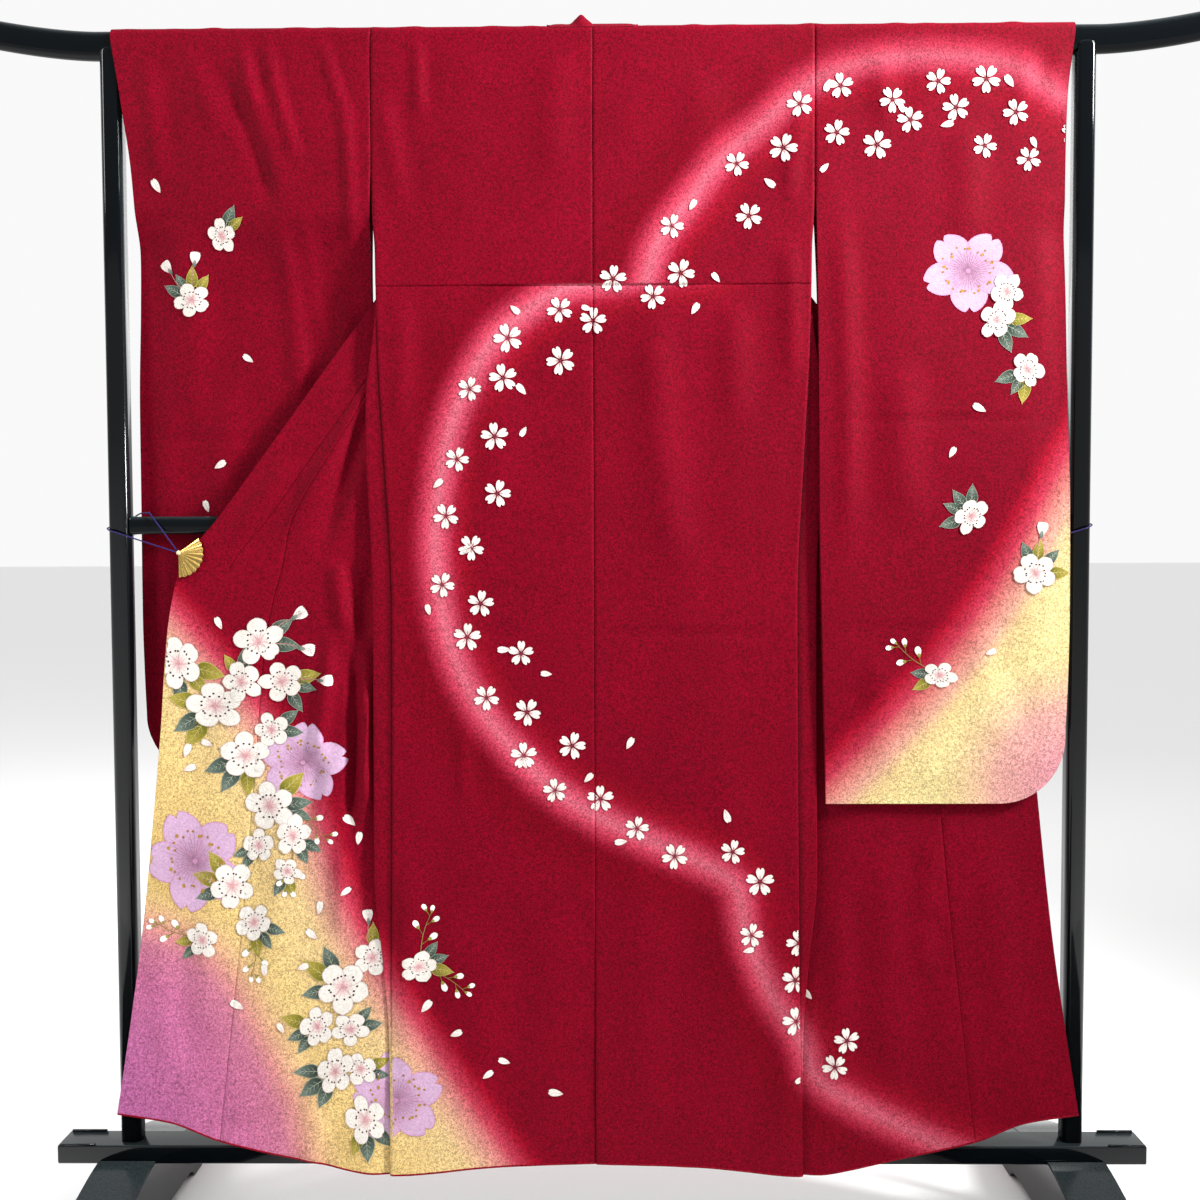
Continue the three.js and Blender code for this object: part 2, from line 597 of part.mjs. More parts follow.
// Sleeve layer: from the sleeve seam to the outer edge. Below the wrist opening the two layers
// close together at the outer edge, and they do so along the bottom.
function sleeveLayer(table, layer) {
  const bottomZ = table.at(-1).z;
  const edge = { in: curve(table, "z", "in"), out: curve(table, "z", "out") };
  const layerDepth = (which) => {
    const [inner, outer] = [curve(table, "z", `${which}In`), curve(table, "z", `${which}Out`)];
    return (height, t) => mix(inner(height), outer(height), smooth(t));
  };
  const depth = layerDepth(layer);
  const otherDepth = layerDepth(layer === "back" ? "front" : "back");
  const columns = [0, 0.2, 0.4, 0.6, 0.76, 0.87, 0.95, 1];
  const heights = [HANG_Z, 1660, 1640, 1589, 1500, 1436, 1381, 1311, 1178, 1060, 960, 843, 745,
    bottomZ + 60, bottomZ + 25, bottomZ];
  const own = layer === "back" ? -1 : 1;
  const closed = CLOTH / 2 + GAP / 2;
  return wall(rowsDown(heights).map((row) => columns.map((t) => {
    const height = row.height;
    const x = mix(edge.in(height), edge.out(height), t);
    const fromOuter = Math.abs(edge.out(height) - x);
    const sewnSide = smooth((HANG_Z - WRIST_OPENING - height) / 60) * smooth(1 - fromOuter / 60);
    const sewn = Math.max(sewnSide, smooth(1 - (height - bottomZ) / 60));
    const middle = (depth(height, t) + otherDepth(height, t)) / 2;
    const y = mix(depth(height, t), middle + own * closed, sewn);
    const { z, bend } = lapAt(row, SHOULDER_BEND);
    const inCorner = Math.max(0, SLEEVE_CORNER - fromOuter);
    const corner = SLEEVE_CORNER - Math.sqrt(Math.max(0, SLEEVE_CORNER ** 2 - inCorner ** 2));
    const lift = corner * ((HANG_Z - height) / (HANG_Z - bottomZ)) ** 5;
    return new THREE.Vector3(x, y * bend, z + lift);
  })), CLOTH);
}

for (const [name, side] of [["left", -1], ["right", 1]]) {
  add(`body_${name}_back`, backPanel(side), silk());
  add(`body_${name}_front`, frontPanel(side), silk());
  add(`overlap_${name}`, overlapPanel(side), silk());
}
add("collar", collar(), silk());
for (const layer of ["back", "front"]) {
  add(`sleeve_left_${layer}`, sleeveLayer(leftSleeveRows, layer), silk());
  add(`sleeve_right_${layer}`, sleeveLayer(rightSleeveRows, layer), silk());
}

// ---- clips, fans and cords that hold the fronts aside ----

// A pleated metal fan, spread from its pivot over the corner of the cloth.
function fan(side, x, y) {
  const radii = [BEAD_RADIUS + GAP, 14, 24, FAN_RADIUS];
  const folds = FAN_PLEATS * 2;
  return wall(radii.map((radius) => Array.from({ length: folds + 1 }, (_, i) => {
    const angle = -CLIP_TILT + FAN_SPREAD * (0.5 - i / folds);
    const depth = y + (i % 2 ? PLEAT : -PLEAT) * (radius / FAN_RADIUS);
    return new THREE.Vector3(x - side * radius * Math.cos(angle), depth, CLIP_Z + radius * Math.sin(angle));
  })), FAN_WALL);
}

// The clip's spring jaw, bent round the edge of the cloth behind the fan.
function jaw(side, x, y) {
  const from = BEAD_RADIUS + 3 * GAP;
  const inner = CLOTH / 2 + 2 * GAP;
  const outer = inner + JAW;
  const outline = new THREE.Shape([
    [from, -outer], [JAW_REACH, -outer], [JAW_REACH, -inner], [from + JAW, -inner],
    [from + JAW, inner], [JAW_REACH, inner], [JAW_REACH, outer], [from, outer],
  ].map(([px, py]) => new THREE.Vector2(px, py)));
  const geometry = new THREE.ExtrudeGeometry(outline, { depth: JAW_WIDTH, bevelEnabled: false });
  geometry.translate(0, 0, -JAW_WIDTH / 2);
  geometry.rotateY(CLIP_TILT);
  if (side > 0) geometry.rotateZ(Math.PI);
  geometry.translate(x, y, CLIP_Z);
  return geometry;
}

function bead(x, y) {
  const geometry = new THREE.SphereGeometry(BEAD_RADIUS, 12, 8);
  geometry.translate(x, y, CLIP_Z);
  return geometry;
}

// The taut loop of cord from the bead over the crossbar, behind the post and back round its front.
function cordLoop(side, x, y) {
  const beadOut = Math.abs(x);
  const postOut = POST_X + POST_WIDTH / 2 + CORD / 2 + GAP;
  const postFace = POST_DEPTH / 2 + CORD / 2 + GAP;
  const railTop = CROSSBAR_Z + CROSSBAR_HEIGHT / 2 + CORD / 2 + 1;
  const railFace = CROSSBAR_DEPTH / 2 + CORD / 2 + 1;
  const route = [
    [beadOut + 2.3, y, CLIP_Z + 2.9],
    [624, -railFace - 1.2, railTop - 1],
    [630, -railFace + 3, railTop + 2.2],
    [641, 0, railTop + 3],
    [652, railFace + 1, railTop + 1],
    [662, postFace + 1.6, railTop - 4],
    [678, postFace + 1.4, railTop - 10],
    [postOut + 0.8, 8, railTop - 15],
    [postOut + 1.2, 0, railTop - 17],
    [postOut + 0.8, -8, railTop - 19],
    [678, -postFace - 1.4, railTop - 23],
    [662, -postFace - 2, railTop - 28],
    [beadOut + 3.5, y, CLIP_Z + 1],
  ];
  const knots = route.map(([out, depth, z]) => new THREE.Vector3(side * out, depth, z));
  const path = new THREE.CatmullRomCurve3(knots);
  const section = new THREE.Shape(Array.from({ length: 8 }, (_, i) => (
    new THREE.Vector2(Math.cos((i * Math.PI) / 4) * (CORD / 2), Math.sin((i * Math.PI) / 4) * (CORD / 2))
  )));
  return new THREE.ExtrudeGeometry(section, { steps: 60, bevelEnabled: false, extrudePath: path });
}

for (const [name, side] of [["left", -1], ["right", 1]]) {
  const x = CENTRE_X + side * CLIP_OUT;
  const clothY = front.freeY(CLIP_Z);
  const fanY = clothY - CLOTH / 2 - JAW - FAN_WALL / 2 - PLEAT - 3 * GAP;
  add(`clip_${name}`, jaw(side, x, clothY), gilt());
  add(`fan_${name}`, fan(side, x, fanY), gilt());
  add(`bead_${name}`, bead(x, fanY), pearl());
  add(`cord_${name}`, cordLoop(side, x, fanY), violet());
}

export default kimonoOnStand;
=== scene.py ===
"""A furisode kimono on a lacquered kimono stand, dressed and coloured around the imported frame."""
import math

import bmesh
import bpy
import numpy as np
from mathutils import Matrix, Vector


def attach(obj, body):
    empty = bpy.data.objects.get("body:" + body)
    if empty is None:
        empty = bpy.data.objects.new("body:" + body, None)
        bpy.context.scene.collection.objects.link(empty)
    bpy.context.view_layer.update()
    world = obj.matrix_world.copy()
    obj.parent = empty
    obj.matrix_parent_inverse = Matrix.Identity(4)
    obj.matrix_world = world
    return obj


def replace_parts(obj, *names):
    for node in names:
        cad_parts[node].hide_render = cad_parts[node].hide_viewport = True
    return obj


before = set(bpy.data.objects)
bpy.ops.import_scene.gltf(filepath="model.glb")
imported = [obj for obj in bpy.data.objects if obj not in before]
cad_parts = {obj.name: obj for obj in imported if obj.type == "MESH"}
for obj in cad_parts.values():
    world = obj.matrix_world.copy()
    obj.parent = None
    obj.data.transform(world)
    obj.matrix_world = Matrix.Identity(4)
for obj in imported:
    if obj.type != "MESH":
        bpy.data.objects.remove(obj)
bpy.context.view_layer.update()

# ---- studio ----
# A plain pale floor, a pale room and large soft lamps, as in a quiet shop. Nothing here belongs to the
# object.

MM = 0.001


def linear(code):
    """The linear colour of an sRGB hex value."""
    parts = [int(code[i:i + 2], 16) / 255 for i in (1, 3, 5)]
    return tuple(c / 12.92 if c <= 0.04045 else ((c + 0.055) / 1.055) ** 2.4 for c in parts)


def add_node(tree, kind, inputs=None, **settings):
    """A new node with its settings, and with each input set to a value or linked to an output."""
    made = tree.nodes.new(kind)
    for name, value in settings.items():
        setattr(made, name, value)
    for socket, value in (inputs or {}).items():
        if isinstance(value, bpy.types.NodeSocket):
            tree.links.new(value, made.inputs[socket])
        else:
            made.inputs[socket].default_value = value
    return made


def new_material(name, colour, **surface):
    """A material with a Principled shader, and its tree and shader for the nodes that follow."""
    made = bpy.data.materials.new(name)
    made.use_nodes = True
    shader = made.node_tree.nodes["Principled BSDF"]
    shader.inputs["Base Color"].default_value = (*linear(colour), 1)
    for socket, value in surface.items():
        shader.inputs[socket.replace("_", " ")].default_value = value
    return made, made.node_tree, shader


def studio():
    scene = bpy.context.scene
    scene.view_settings.view_transform = "Standard"
    world = bpy.data.worlds.new("pale_room")
    world.use_nodes = True
    background = world.node_tree.nodes["Background"]
    background.inputs["Color"].default_value = (*linear("#FFFFFF"), 1)
    towards = add_node(world.node_tree, "ShaderNodeTexCoord").outputs["Generated"]
    behind = add_node(world.node_tree, "ShaderNodeSeparateXYZ", {"Vector": towards}).outputs["Y"]
    # The room is dim on the lamps' side and bright behind the garment, as a lit pale wall is.
    glow = add_node(world.node_tree, "ShaderNodeMapRange", {
        "Value": behind, "From Min": -0.5, "From Max": -0.05, "To Min": 0.36, "To Max": 0.95,
    })
    world.node_tree.links.new(glow.outputs["Result"], background.inputs["Strength"])
    scene.world = world

    floor_mesh = bpy.data.meshes.new("floor")
    reach = 80
    corners = [(-reach, -reach, 0), (reach, -reach, 0), (reach, reach, 0), (-reach, reach, 0)]
    floor_mesh.from_pydata(corners, [], [(0, 1, 2, 3)])
    floor = bpy.data.objects.new("floor", floor_mesh)
    scene.collection.objects.link(floor)
    floor_paint, _, _ = new_material("pale_floor", "#FFFFFF", Roughness=0.8)
    floor_mesh.materials.append(floor_paint)

    # place, point looked at, width, height, power in watts, spread in degrees
    lamps = [
        ((-2.3, -1.3, 2.3), (-0.4, 0, 1.1), 0.5, 1.2, 28, 150),
        ((2.4, -1.0, 2.8), (0.15, 0, 1.55), 0.4, 1.2, 56, 75),
        ((0.0, 2.8, 2.6), (0, 0, 1.0), 2.4, 1.0, 20, 180),
    ]
    for number, (place, target, width, height, power, spread) in enumerate(lamps):
        light = bpy.data.lights.new(f"lamp_{number}", "AREA")
        light.shape = "RECTANGLE"
        light.size = width
        light.size_y = height
        light.energy = power
        light.spread = math.radians(spread)
        lamp = bpy.data.objects.new(light.name, light)
        lamp.location = place
        aim = Vector(target) - Vector(place)
        lamp.rotation_mode = "QUATERNION"
        lamp.rotation_quaternion = aim.to_track_quat("-Z", "Y")
        scene.collection.objects.link(lamp)


def camera():
    """The camera stands square to the garment's back, a little to the right and at waist height."""
    yaw = math.radians(0.536)
    pitch = math.radians(2.369)
    roll = math.radians(0.205)
    ahead = Vector((-math.sin(yaw) * math.cos(pitch), math.cos(yaw) * math.cos(pitch), -math.sin(pitch)))
    level = Vector((math.cos(yaw), math.sin(yaw), 0))
    above = level.cross(ahead)
    right = level * math.cos(roll) - above * math.sin(roll)
    up = level * math.sin(roll) + above * math.cos(roll)
    data = bpy.data.cameras.new("camera")
    data.lens = 35.85
    data.sensor_width = 36
    made = bpy.data.objects.new("camera", data)
    turn = Matrix((right, up, -ahead)).transposed().to_4x4()
    place = Vector((18.46, -1679.8, 967.0)) * MM
    made.matrix_world = Matrix.Translation(place) @ turn
    bpy.context.scene.collection.objects.link(made)
    bpy.context.scene.camera = made


studio()
camera()


# ---- cords ----
# A twisted silk cord, two millimetres thick, runs from each clip's bead over the crossbar, behind the
# post and back round its front. It is drawn taut, so it is straight between what it touches.

SIDES = {"left": -1, "right": 1}
CORD_WIDTH = 2
TWIST_PITCH = 2.4
CLIP_X = {"left": -584, "right": 574}
BEAD_Y = -19.3
CLIP_Z = 966
# The right-hand cord from its clip round the post and back: distance out, depth and height.
CORD_ROUTE = [
    (624, -11.2, 1018),
    (630, -7, 1021.2),
    (641, 0, 1022),
    (652, 12, 1020),
    (662, 15.9, 1015),
    (678, 15.7, 1009),
    (687.6, 8, 1004),
    (688, 0, 1002),
    (687.6, -8, 1000),
    (678, -15.7, 996),
    (662, -16.3, 991),
]


def catmull(knots, steps):
    """Points of a smooth line through the knots, with so many steps from each to the next."""
    knots = np.asarray(knots, float)
    padded = np.concatenate([2 * knots[:1] - knots[1:2], knots, 2 * knots[-1:] - knots[-2:-1]])
    t = (np.arange(steps) / steps).reshape(-1, *[1] * (knots.ndim - 1))
    pieces = []
    for a, b, c, d in zip(padded, padded[1:], padded[2:], padded[3:]):
        pieces.append(0.5 * (2 * b + (c - a) * t + (2 * a - 5 * b + 4 * c - d) * t**2
                             + (3 * b - a - 3 * c + d) * t**3))
    return np.concatenate([*pieces, knots[-1:]])


def unit(vectors):
    return vectors / np.maximum(np.linalg.norm(vectors, axis=-1, keepdims=True), 1e-9)


def loft(rings):
    """Points and faces of a solid through rings of points, closed by a flat face at both ends."""
    rings = np.asarray(rings)
    count = rings.shape[1]
    faces = []
    for ring in range(len(rings) - 1):
        for i in range(count):
            j = (i + 1) % count
            faces.append((ring * count + i, ring * count + j, (ring + 1) * count + j, (ring + 1) * count + i))
    last = (len(rings) - 1) * count
    faces.append(tuple(range(count))[::-1])
    faces.append(tuple(range(last, last + count)))
    return rings.reshape(-1, 3), faces


def tube(line, radius, sides=10):
    """Points and faces of a closed tube along a line."""
    along = unit(np.gradient(line, axis=0))
    side = unit(np.cross(along, (0.13, 0.21, 1.0)))
    over = np.cross(side, along)
    angle = np.arange(sides) * 2 * math.pi / sides
    across = np.cos(angle)[None, :, None] * side[:, None]
    upward = np.sin(angle)[None, :, None] * over[:, None]
    rings = line[:, None] + radius * (across + upward)
    return loft(rings)


def new_piece(name, points, faces, materials, slot):
    """An object from points in millimetres, which rides on the one body."""
    mesh = bpy.data.meshes.new(name)
    mesh.from_pydata((np.asarray(points) * MM).tolist(), [], faces)
    mesh.validate()
    for one in materials:
        mesh.materials.append(one)
    mesh.shade_smooth()
    made = bpy.data.objects.new(name, mesh)
    bpy.context.scene.collection.objects.link(made)
    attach(made, "root")
    return made


def scale_for(size):
    """The scale of a texture whose features are about this many millimetres across."""
    return 1 / (size * MM)


def silk_cord():
    """Dyed silk cord, twisted: violet-blue, soft, with the twist as fine slanting bands. The bands of a
    wave texture lie ten radians to its unit. Each band is darker where it dips: painted shade between the
    plies."""
    made, tree, shader = new_material("violet_silk_cord", "#2A1466", Roughness=0.7, Sheen_Weight=0.08)
    shader.inputs["Specular IOR Level"].default_value = 0.2
    place = add_node(tree, "ShaderNodeTexCoord").outputs["Object"]
    pitch = scale_for(TWIST_PITCH) * math.tau / 10
    twist = add_node(tree, "ShaderNodeTexWave", {"Vector": place, "Scale": pitch}, bands_direction="DIAGONAL")
    bump = add_node(tree, "ShaderNodeBump", {
        "Height": twist.outputs["Fac"], "Strength": 0.5, "Distance": 0.3 * MM,
    })
    tree.links.new(bump.outputs["Normal"], shader.inputs["Normal"])
    # The bands' colour follows the bump: painted shade, darker in the dips between the plies.
    colour = add_node(tree, "ShaderNodeMix", {"Factor": twist.outputs["Fac"]}, data_type="RGBA")
    colour.inputs["A"].default_value = (*linear("#14083C"), 1)
    colour.inputs["B"].default_value = (*linear("#26125E"), 1)
    tree.links.new(colour.outputs["Result"], shader.inputs["Base Color"])
    return made


cord_silk = silk_cord()
for name, side in SIDES.items():
    bead_out = abs(CLIP_X[name])
    knots = [(bead_out + 2.3, BEAD_Y, CLIP_Z + 2.9), *CORD_ROUTE, (bead_out + 3.5, BEAD_Y, CLIP_Z + 1)]
    line = catmull(np.array(knots) * (side, 1, 1), 6)
    points, faces = tube(line, CORD_WIDTH / 2)
    cord = new_piece(f"cord_loop_{name}", points, faces, [cord_silk], "cord")
    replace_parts(cord, f"cord_{name}")


# ---- stand ----
# The stand is of turned and planed wood under many coats of black lacquer, polished to a deep gloss:
# two feet, a long beam, two posts, a crossbar between them and a bar whose ends sweep up.

POST_X = 671
POST_WIDTH = 29
POST_DEPTH = 26
POST_CORNER = 8
POST_TOP = 1661
BAR_Z = 1667
BAR_HEIGHT = 39
BAR_DEPTH = 21
BAR_HALF = 880
BAR_SWEEP_FROM = 690
BAR_RISE = 27
CROSSBAR_Z = 1004.5
CROSSBAR_HEIGHT = 25
CROSSBAR_DEPTH = 18
BEAM_HALF = 771
BEAM_DEPTH = 46
BEAM_BOTTOM = 98.5
BEAM_HEIGHT = 26.5
FOOT_WIDTH = 82
FIT = 0.3


def lacquer():
    """Black lacquer on wood: a deep clear gloss over black, with a faint waviness from the brush and
    a film of dust that greys what faces up."""
    made, tree, shader = new_material("black_lacquer", "#04070A", Roughness=0.12, IOR=1.5)
    shader.inputs["Specular IOR Level"].default_value = 0.2
    place = add_node(tree, "ShaderNodeTexCoord").outputs["Object"]
    wave = add_node(tree, "ShaderNodeTexNoise", {"Vector": place, "Scale": scale_for(36), "Detail": 2})
    bump = add_node(tree, "ShaderNodeBump", {
        "Height": wave.outputs["Fac"], "Strength": 0.12, "Distance": 0.6 * MM,
    })
    tree.links.new(bump.outputs["Normal"], shader.inputs["Normal"])
    normal = add_node(tree, "ShaderNodeNewGeometry").outputs["Normal"]
    upward = add_node(tree, "ShaderNodeSeparateXYZ", {"Vector": normal}).outputs["Z"]
    specks = add_node(tree, "ShaderNodeTexNoise", {"Vector": place, "Scale": scale_for(2.4), "Detail": 3})
    dust = add_node(tree, "ShaderNodeMath", {0: upward, 1: specks.outputs["Fac"]}, operation="MULTIPLY",
                    use_clamp=True)
    colour = add_node(tree, "ShaderNodeMix", {"Factor": dust.outputs["Value"]}, data_type="RGBA")
    colour.inputs["A"].default_value = (*linear("#04070A"), 1)
    colour.inputs["B"].default_value = (*linear("#30383A"), 1)
    tree.links.new(colour.outputs["Result"], shader.inputs["Base Color"])
    rough = add_node(tree, "ShaderNodeMapRange", {
        "Value": dust.outputs["Value"], "To Min": 0.1, "To Max": 0.3,
    })
    tree.links.new(rough.outputs["Result"], shader.inputs["Roughness"])
    return made


def rounded_section(width, height, radius, per_corner=8):
    """A rectangle with rounded corners, as points round it."""
    points = []
    for corner, (sx, sy) in enumerate([(1, 1), (-1, 1), (-1, -1), (1, -1)]):
        for i in range(per_corner + 1):
            angle = (corner + i / per_corner) * math.pi / 2
            points.append((sx * (width / 2 - radius) + radius * math.cos(angle),
                           sy * (height / 2 - radius) + radius * math.sin(angle)))
    return np.array(points)


def faces_out(made):
    """Turns a closed mesh's faces outwards."""
    work = bmesh.new()
    work.from_mesh(made.data)
    bmesh.ops.recalc_face_normals(work, faces=work.faces)
    work.to_mesh(made.data)
    work.free()
    return made


def soften(made, width, angle):
    """Rounds the edges of a planed piece that are sharper than an angle in degrees."""
    bevel = made.modifiers.new("rounded_edges", "BEVEL")
    bevel.width = width * MM
    bevel.segments = 3
    bevel.limit_method = "ANGLE"
    bevel.angle_limit = math.radians(angle)


black = lacquer()


def lacquered(name, points, faces):
    """A solid of the stand."""
    return faces_out(new_piece(name, points, faces, [black], "lacquer"))


def top_bar():
    section = rounded_section(BAR_DEPTH, BAR_HEIGHT, BAR_DEPTH / 2 - 0.5)
    half = [*np.linspace(0, BAR_SWEEP_FROM, 4), *np.linspace(BAR_SWEEP_FROM + 8, BAR_HALF - 4, 22)]
    round_end = [(BAR_HALF - 2.4, 0.97), (BAR_HALF - 0.8, 0.88), (BAR_HALF, 0.7)]
    stations = [(x, 1) for x in half] + round_end
    stations = [(-x, s) for x, s in reversed(stations[1:])] + stations
    rings = []
    for x, scale in stations:
        beyond = max(0, abs(x) - BAR_SWEEP_FROM) / (BAR_HALF - BAR_SWEEP_FROM)
        lift = BAR_RISE * beyond**1.6
        rings.append([(x, y * scale, BAR_Z + lift + z * scale) for y, z in section])
    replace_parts(lacquered("top_bar", *loft(rings)), "stand_bar")


def crossbar():
    section = rounded_section(CROSSBAR_DEPTH, CROSSBAR_HEIGHT, 6)
    half = POST_X - POST_WIDTH / 2 - FIT
    flare = [(-half, 1.16), (-half + 3, 1.07), (-half + 6, 1.02), (-half + 10, 1), (0, 1)]
    stations = flare + [(-x, s) for x, s in reversed(flare[:-1])]
    rings = [[(x, y * s, CROSSBAR_Z + z * s) for y, z in section] for x, s in stations]
    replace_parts(lacquered("middle_bar", *loft(rings)), "stand_crossbar")


def beam():
    """The beam has a low lip planed along both top edges beyond the posts."""
    section = rounded_section(BEAM_DEPTH, BEAM_HEIGHT, 2.5)
    stations = [(-BEAM_HALF, 0.94), (-BEAM_HALF + 1.5, 1), (BEAM_HALF - 1.5, 1), (BEAM_HALF, 0.94)]
    rings = [[(x, y * s, BEAM_BOTTOM + BEAM_HEIGHT / 2 + z * s) for y, z in section] for x, s in stations]
    points, faces = loft(rings)
    lip_section = rounded_section(4, 3.4, 1.2, 3)
    for side in (-1, 1):
        for edge in (-1, 1):
            y = edge * (BEAM_DEPTH / 2 - 2.4)
            z = BEAM_BOTTOM + BEAM_HEIGHT + 0.6
            ends = [side * (POST_X + FOOT_WIDTH / 2 + 6), side * (BEAM_HALF - 3)]
            lip, lip_faces = loft([[(x, y + ly, z + lz) for ly, lz in lip_section] for x in ends])
            faces = faces + [tuple(i + len(points) for i in face) for face in lip_faces]
            points = np.vstack([points, lip])
    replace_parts(lacquered("long_beam", points, faces), "stand_beam")


def cut_out(made, cutter):
    """Cuts one solid out of another for good, and drops the cutter."""
    cut = made.modifiers.new("slot", "BOOLEAN")
    cut.object = cutter
    cut.operation = "DIFFERENCE"
    cut.solver = "EXACT"
    bpy.context.view_layer.update()
    graph = bpy.context.evaluated_depsgraph_get()
    mesh = bpy.data.meshes.new_from_object(made.evaluated_get(graph))
    made.modifiers.clear()
    made.data = mesh
    bpy.data.objects.remove(cutter)


def post(name, x):
    """A post, tenoned into the beam, with a slot in its rounded top for the bar to lie in."""
    section = rounded_section(POST_WIDTH, POST_DEPTH, POST_CORNER)
    bottom = BEAM_BOTTOM + BEAM_HEIGHT + FIT
    rounding = [(6, 0), (3.4, 0.8), (1.4, 2.4), (0.4, 4.4), (0, 6.5)]
    stations = [(bottom, 0)] + [(POST_TOP - below, inset) for below, inset in rounding]
    rings = []
    for z, inset in stations:
        narrow = (POST_WIDTH - 2 * inset) / POST_WIDTH
        rings.append([(x + px * narrow, py, z) for px, py in section])
    made = lacquered(f"upright_{name}", *loft(rings))
    slot_half = BAR_DEPTH / 2 + FIT
    floor = BAR_Z - BAR_HEIGHT / 2 - FIT
    box = [[(x + sx * POST_WIDTH, sy * slot_half, z) for sx, sy in ((-1, -1), (1, -1), (1, 1), (-1, 1))]
           for z in (floor, POST_TOP + 5)]
    cut_out(made, lacquered("cutter", *loft(box)))
    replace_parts(made, f"stand_post_{name}")


def foot(name, x):
    """A foot: a board whose top falls in a soft curve to both tips, hollowed under its middle."""
    notch = BEAM_DEPTH / 2 + FIT
    top = catmull([(notch, 104), (55, 99), (100, 88), (149, 75), (209, 52), (230, 41)], 4)
    tip = [(236, 36.5), (239, 32), (240, 27), (240, 3), (237, 0)]
    under = [(135, 0), (131, 1.2), (124, 8), (119, 12), (111, 14.6), (95, 15)]
    half = [(notch, BEAM_BOTTOM - FIT), *top.tolist(), *tip, *under]
    outline = half + [(-y, z) for y, z in reversed(half)]
    rings = [[(x + side * FOOT_WIDTH / 2, y, z) for y, z in outline] for side in (-1, 1)]
    made = lacquered(f"trestle_foot_{name}", *loft(rings))
    made.data.set_sharp_from_angle(angle=math.radians(35))
    soften(made, 1.6, 50)
    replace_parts(made, f"stand_foot_{name}")


top_bar()
crossbar()
beam()
for name, side in SIDES.items():
    post(name, side * POST_X)
    foot(name, side * POST_X)


# ---- silk ----
# The kimono is of crepe silk, dyed by hand with brushes and paste before it is sewn: a crimson ground,
# soft bands of paler dye, and fields of gold and violet. Its lining is plain crimson silk.

CENTRE_X = -5
HANG_Z = 1676
LAP_RADIUS = 12.8
HEM_Z = 100
TUCK_Z = 1332
CLOTH = 1.2
GRAIN = 1.6
FLECK = 3.4
CLOUD = 90
GROUND = "#82001D"
LINING = "#8C0A22"


def smooth(t):
    t = np.clip(t, 0, 1)
    return t * t * (3 - 2 * t)


def mix(a, b, t):
    return a + (b - a) * t


def curve(at, values):
    """A smooth curve through a table's values, which never overshoots them."""
    order = np.argsort(at)
    x = np.asarray(at, float)[order]
    y = np.asarray(values, float)[order]
    slopes = np.diff(y) / np.diff(x)
    before = np.append(slopes[:1], slopes)
    after = np.append(slopes, slopes[-1:])
    rising = before * after > 0
    tangents = np.where(rising, 2 * before * after / np.where(rising, before + after, 1), 0)

    def value(v):
        v = np.clip(v, x[0], x[-1])
        i = np.clip(np.searchsorted(x, v, side="right") - 1, 0, len(x) - 2)
        step = x[i + 1] - x[i]
        t = (v - x[i]) / step
        bend = (t**3 - 2 * t**2 + t) * tangents[i] + (t**3 - t**2) * tangents[i + 1]
        return y[i] + (y[i + 1] - y[i]) * t * t * (3 - 2 * t) + bend * step

    return value


def table(columns, rows):
    """A curve for each named column of a table, over its first column."""
    values = np.array(rows, float)
    return {name: curve(values[:, 0], values[:, i + 1]) for i, name in enumerate(columns.split())}


def crepe(name, colour, dyed, low=0.37, high=0.99):
    """Chirimen, a silk crepe woven from hard-twisted yarn: its shrunken grain is under a millimetre, and
    it takes the dye unevenly, in flecks of a few. The grain is drawn coarser, so that it shows. The dye
    is also darkened all over, and most where the grain dips: painted shade of the grain."""
    made, tree, shader = new_material(name, colour, Roughness=0.72, Sheen_Weight=0.02, Sheen_Roughness=0.5)
    shader.inputs["Specular IOR Level"].default_value = 0.05
    shader.inputs["Sheen Tint"].default_value = (*linear("#FF8094"), 1)
    place = add_node(tree, "ShaderNodeTexCoord").outputs["Object"]
    flecks = add_node(tree, "ShaderNodeTexNoise", {
        "Vector": place, "Scale": scale_for(FLECK), "Detail": 2.5, "Roughness": 0.6, "Distortion": 0.6,
    })
    clouds = add_node(tree, "ShaderNodeTexNoise", {"Vector": place, "Scale": scale_for(CLOUD), "Detail": 2})
    grain = add_node(tree, "ShaderNodeTexNoise", {"Vector": place, "Scale": scale_for(GRAIN), "Detail": 1.5})
    uneven = add_node(tree, "ShaderNodeMath", {0: flecks.outputs["Fac"], 1: grain.outputs["Fac"]},
                      operation="ADD")
    # Painted shade: besides the random flecks, this range darkens the dye all over, and most where the grain
    # dips.
    tone_and_grain_shade = add_node(tree, "ShaderNodeMapRange", {
        "Value": uneven.outputs["Value"], "From Min": 0.76, "From Max": 1.24, "To Min": low, "To Max": high,
    })
    wide = add_node(tree, "ShaderNodeMapRange", {
        "Value": clouds.outputs["Fac"], "From Min": 0.3, "From Max": 0.7, "To Min": 0.94, "To Max": 1.06,
    })
    both = add_node(tree, "ShaderNodeMath", {0: tone_and_grain_shade.outputs["Result"], 1: wide.outputs["Result"]},
                    operation="MULTIPLY")
    shade = add_node(tree, "ShaderNodeVectorMath", {1: both.outputs["Value"]}, operation="MULTIPLY")
    if dyed:
        dye = add_node(tree, "ShaderNodeAttribute", attribute_name="dye")
        tree.links.new(dye.outputs["Color"], shade.inputs[0])
    else:
        shade.inputs[0].default_value = linear(colour)
    tree.links.new(shade.outputs["Vector"], shader.inputs["Base Color"])
    bump = add_node(tree, "ShaderNodeBump", {
        "Height": uneven.outputs["Value"], "Strength": 0.4, "Distance": 0.4 * MM,
    })
    tree.links.new(bump.outputs["Normal"], shader.inputs["Normal"])
    return made


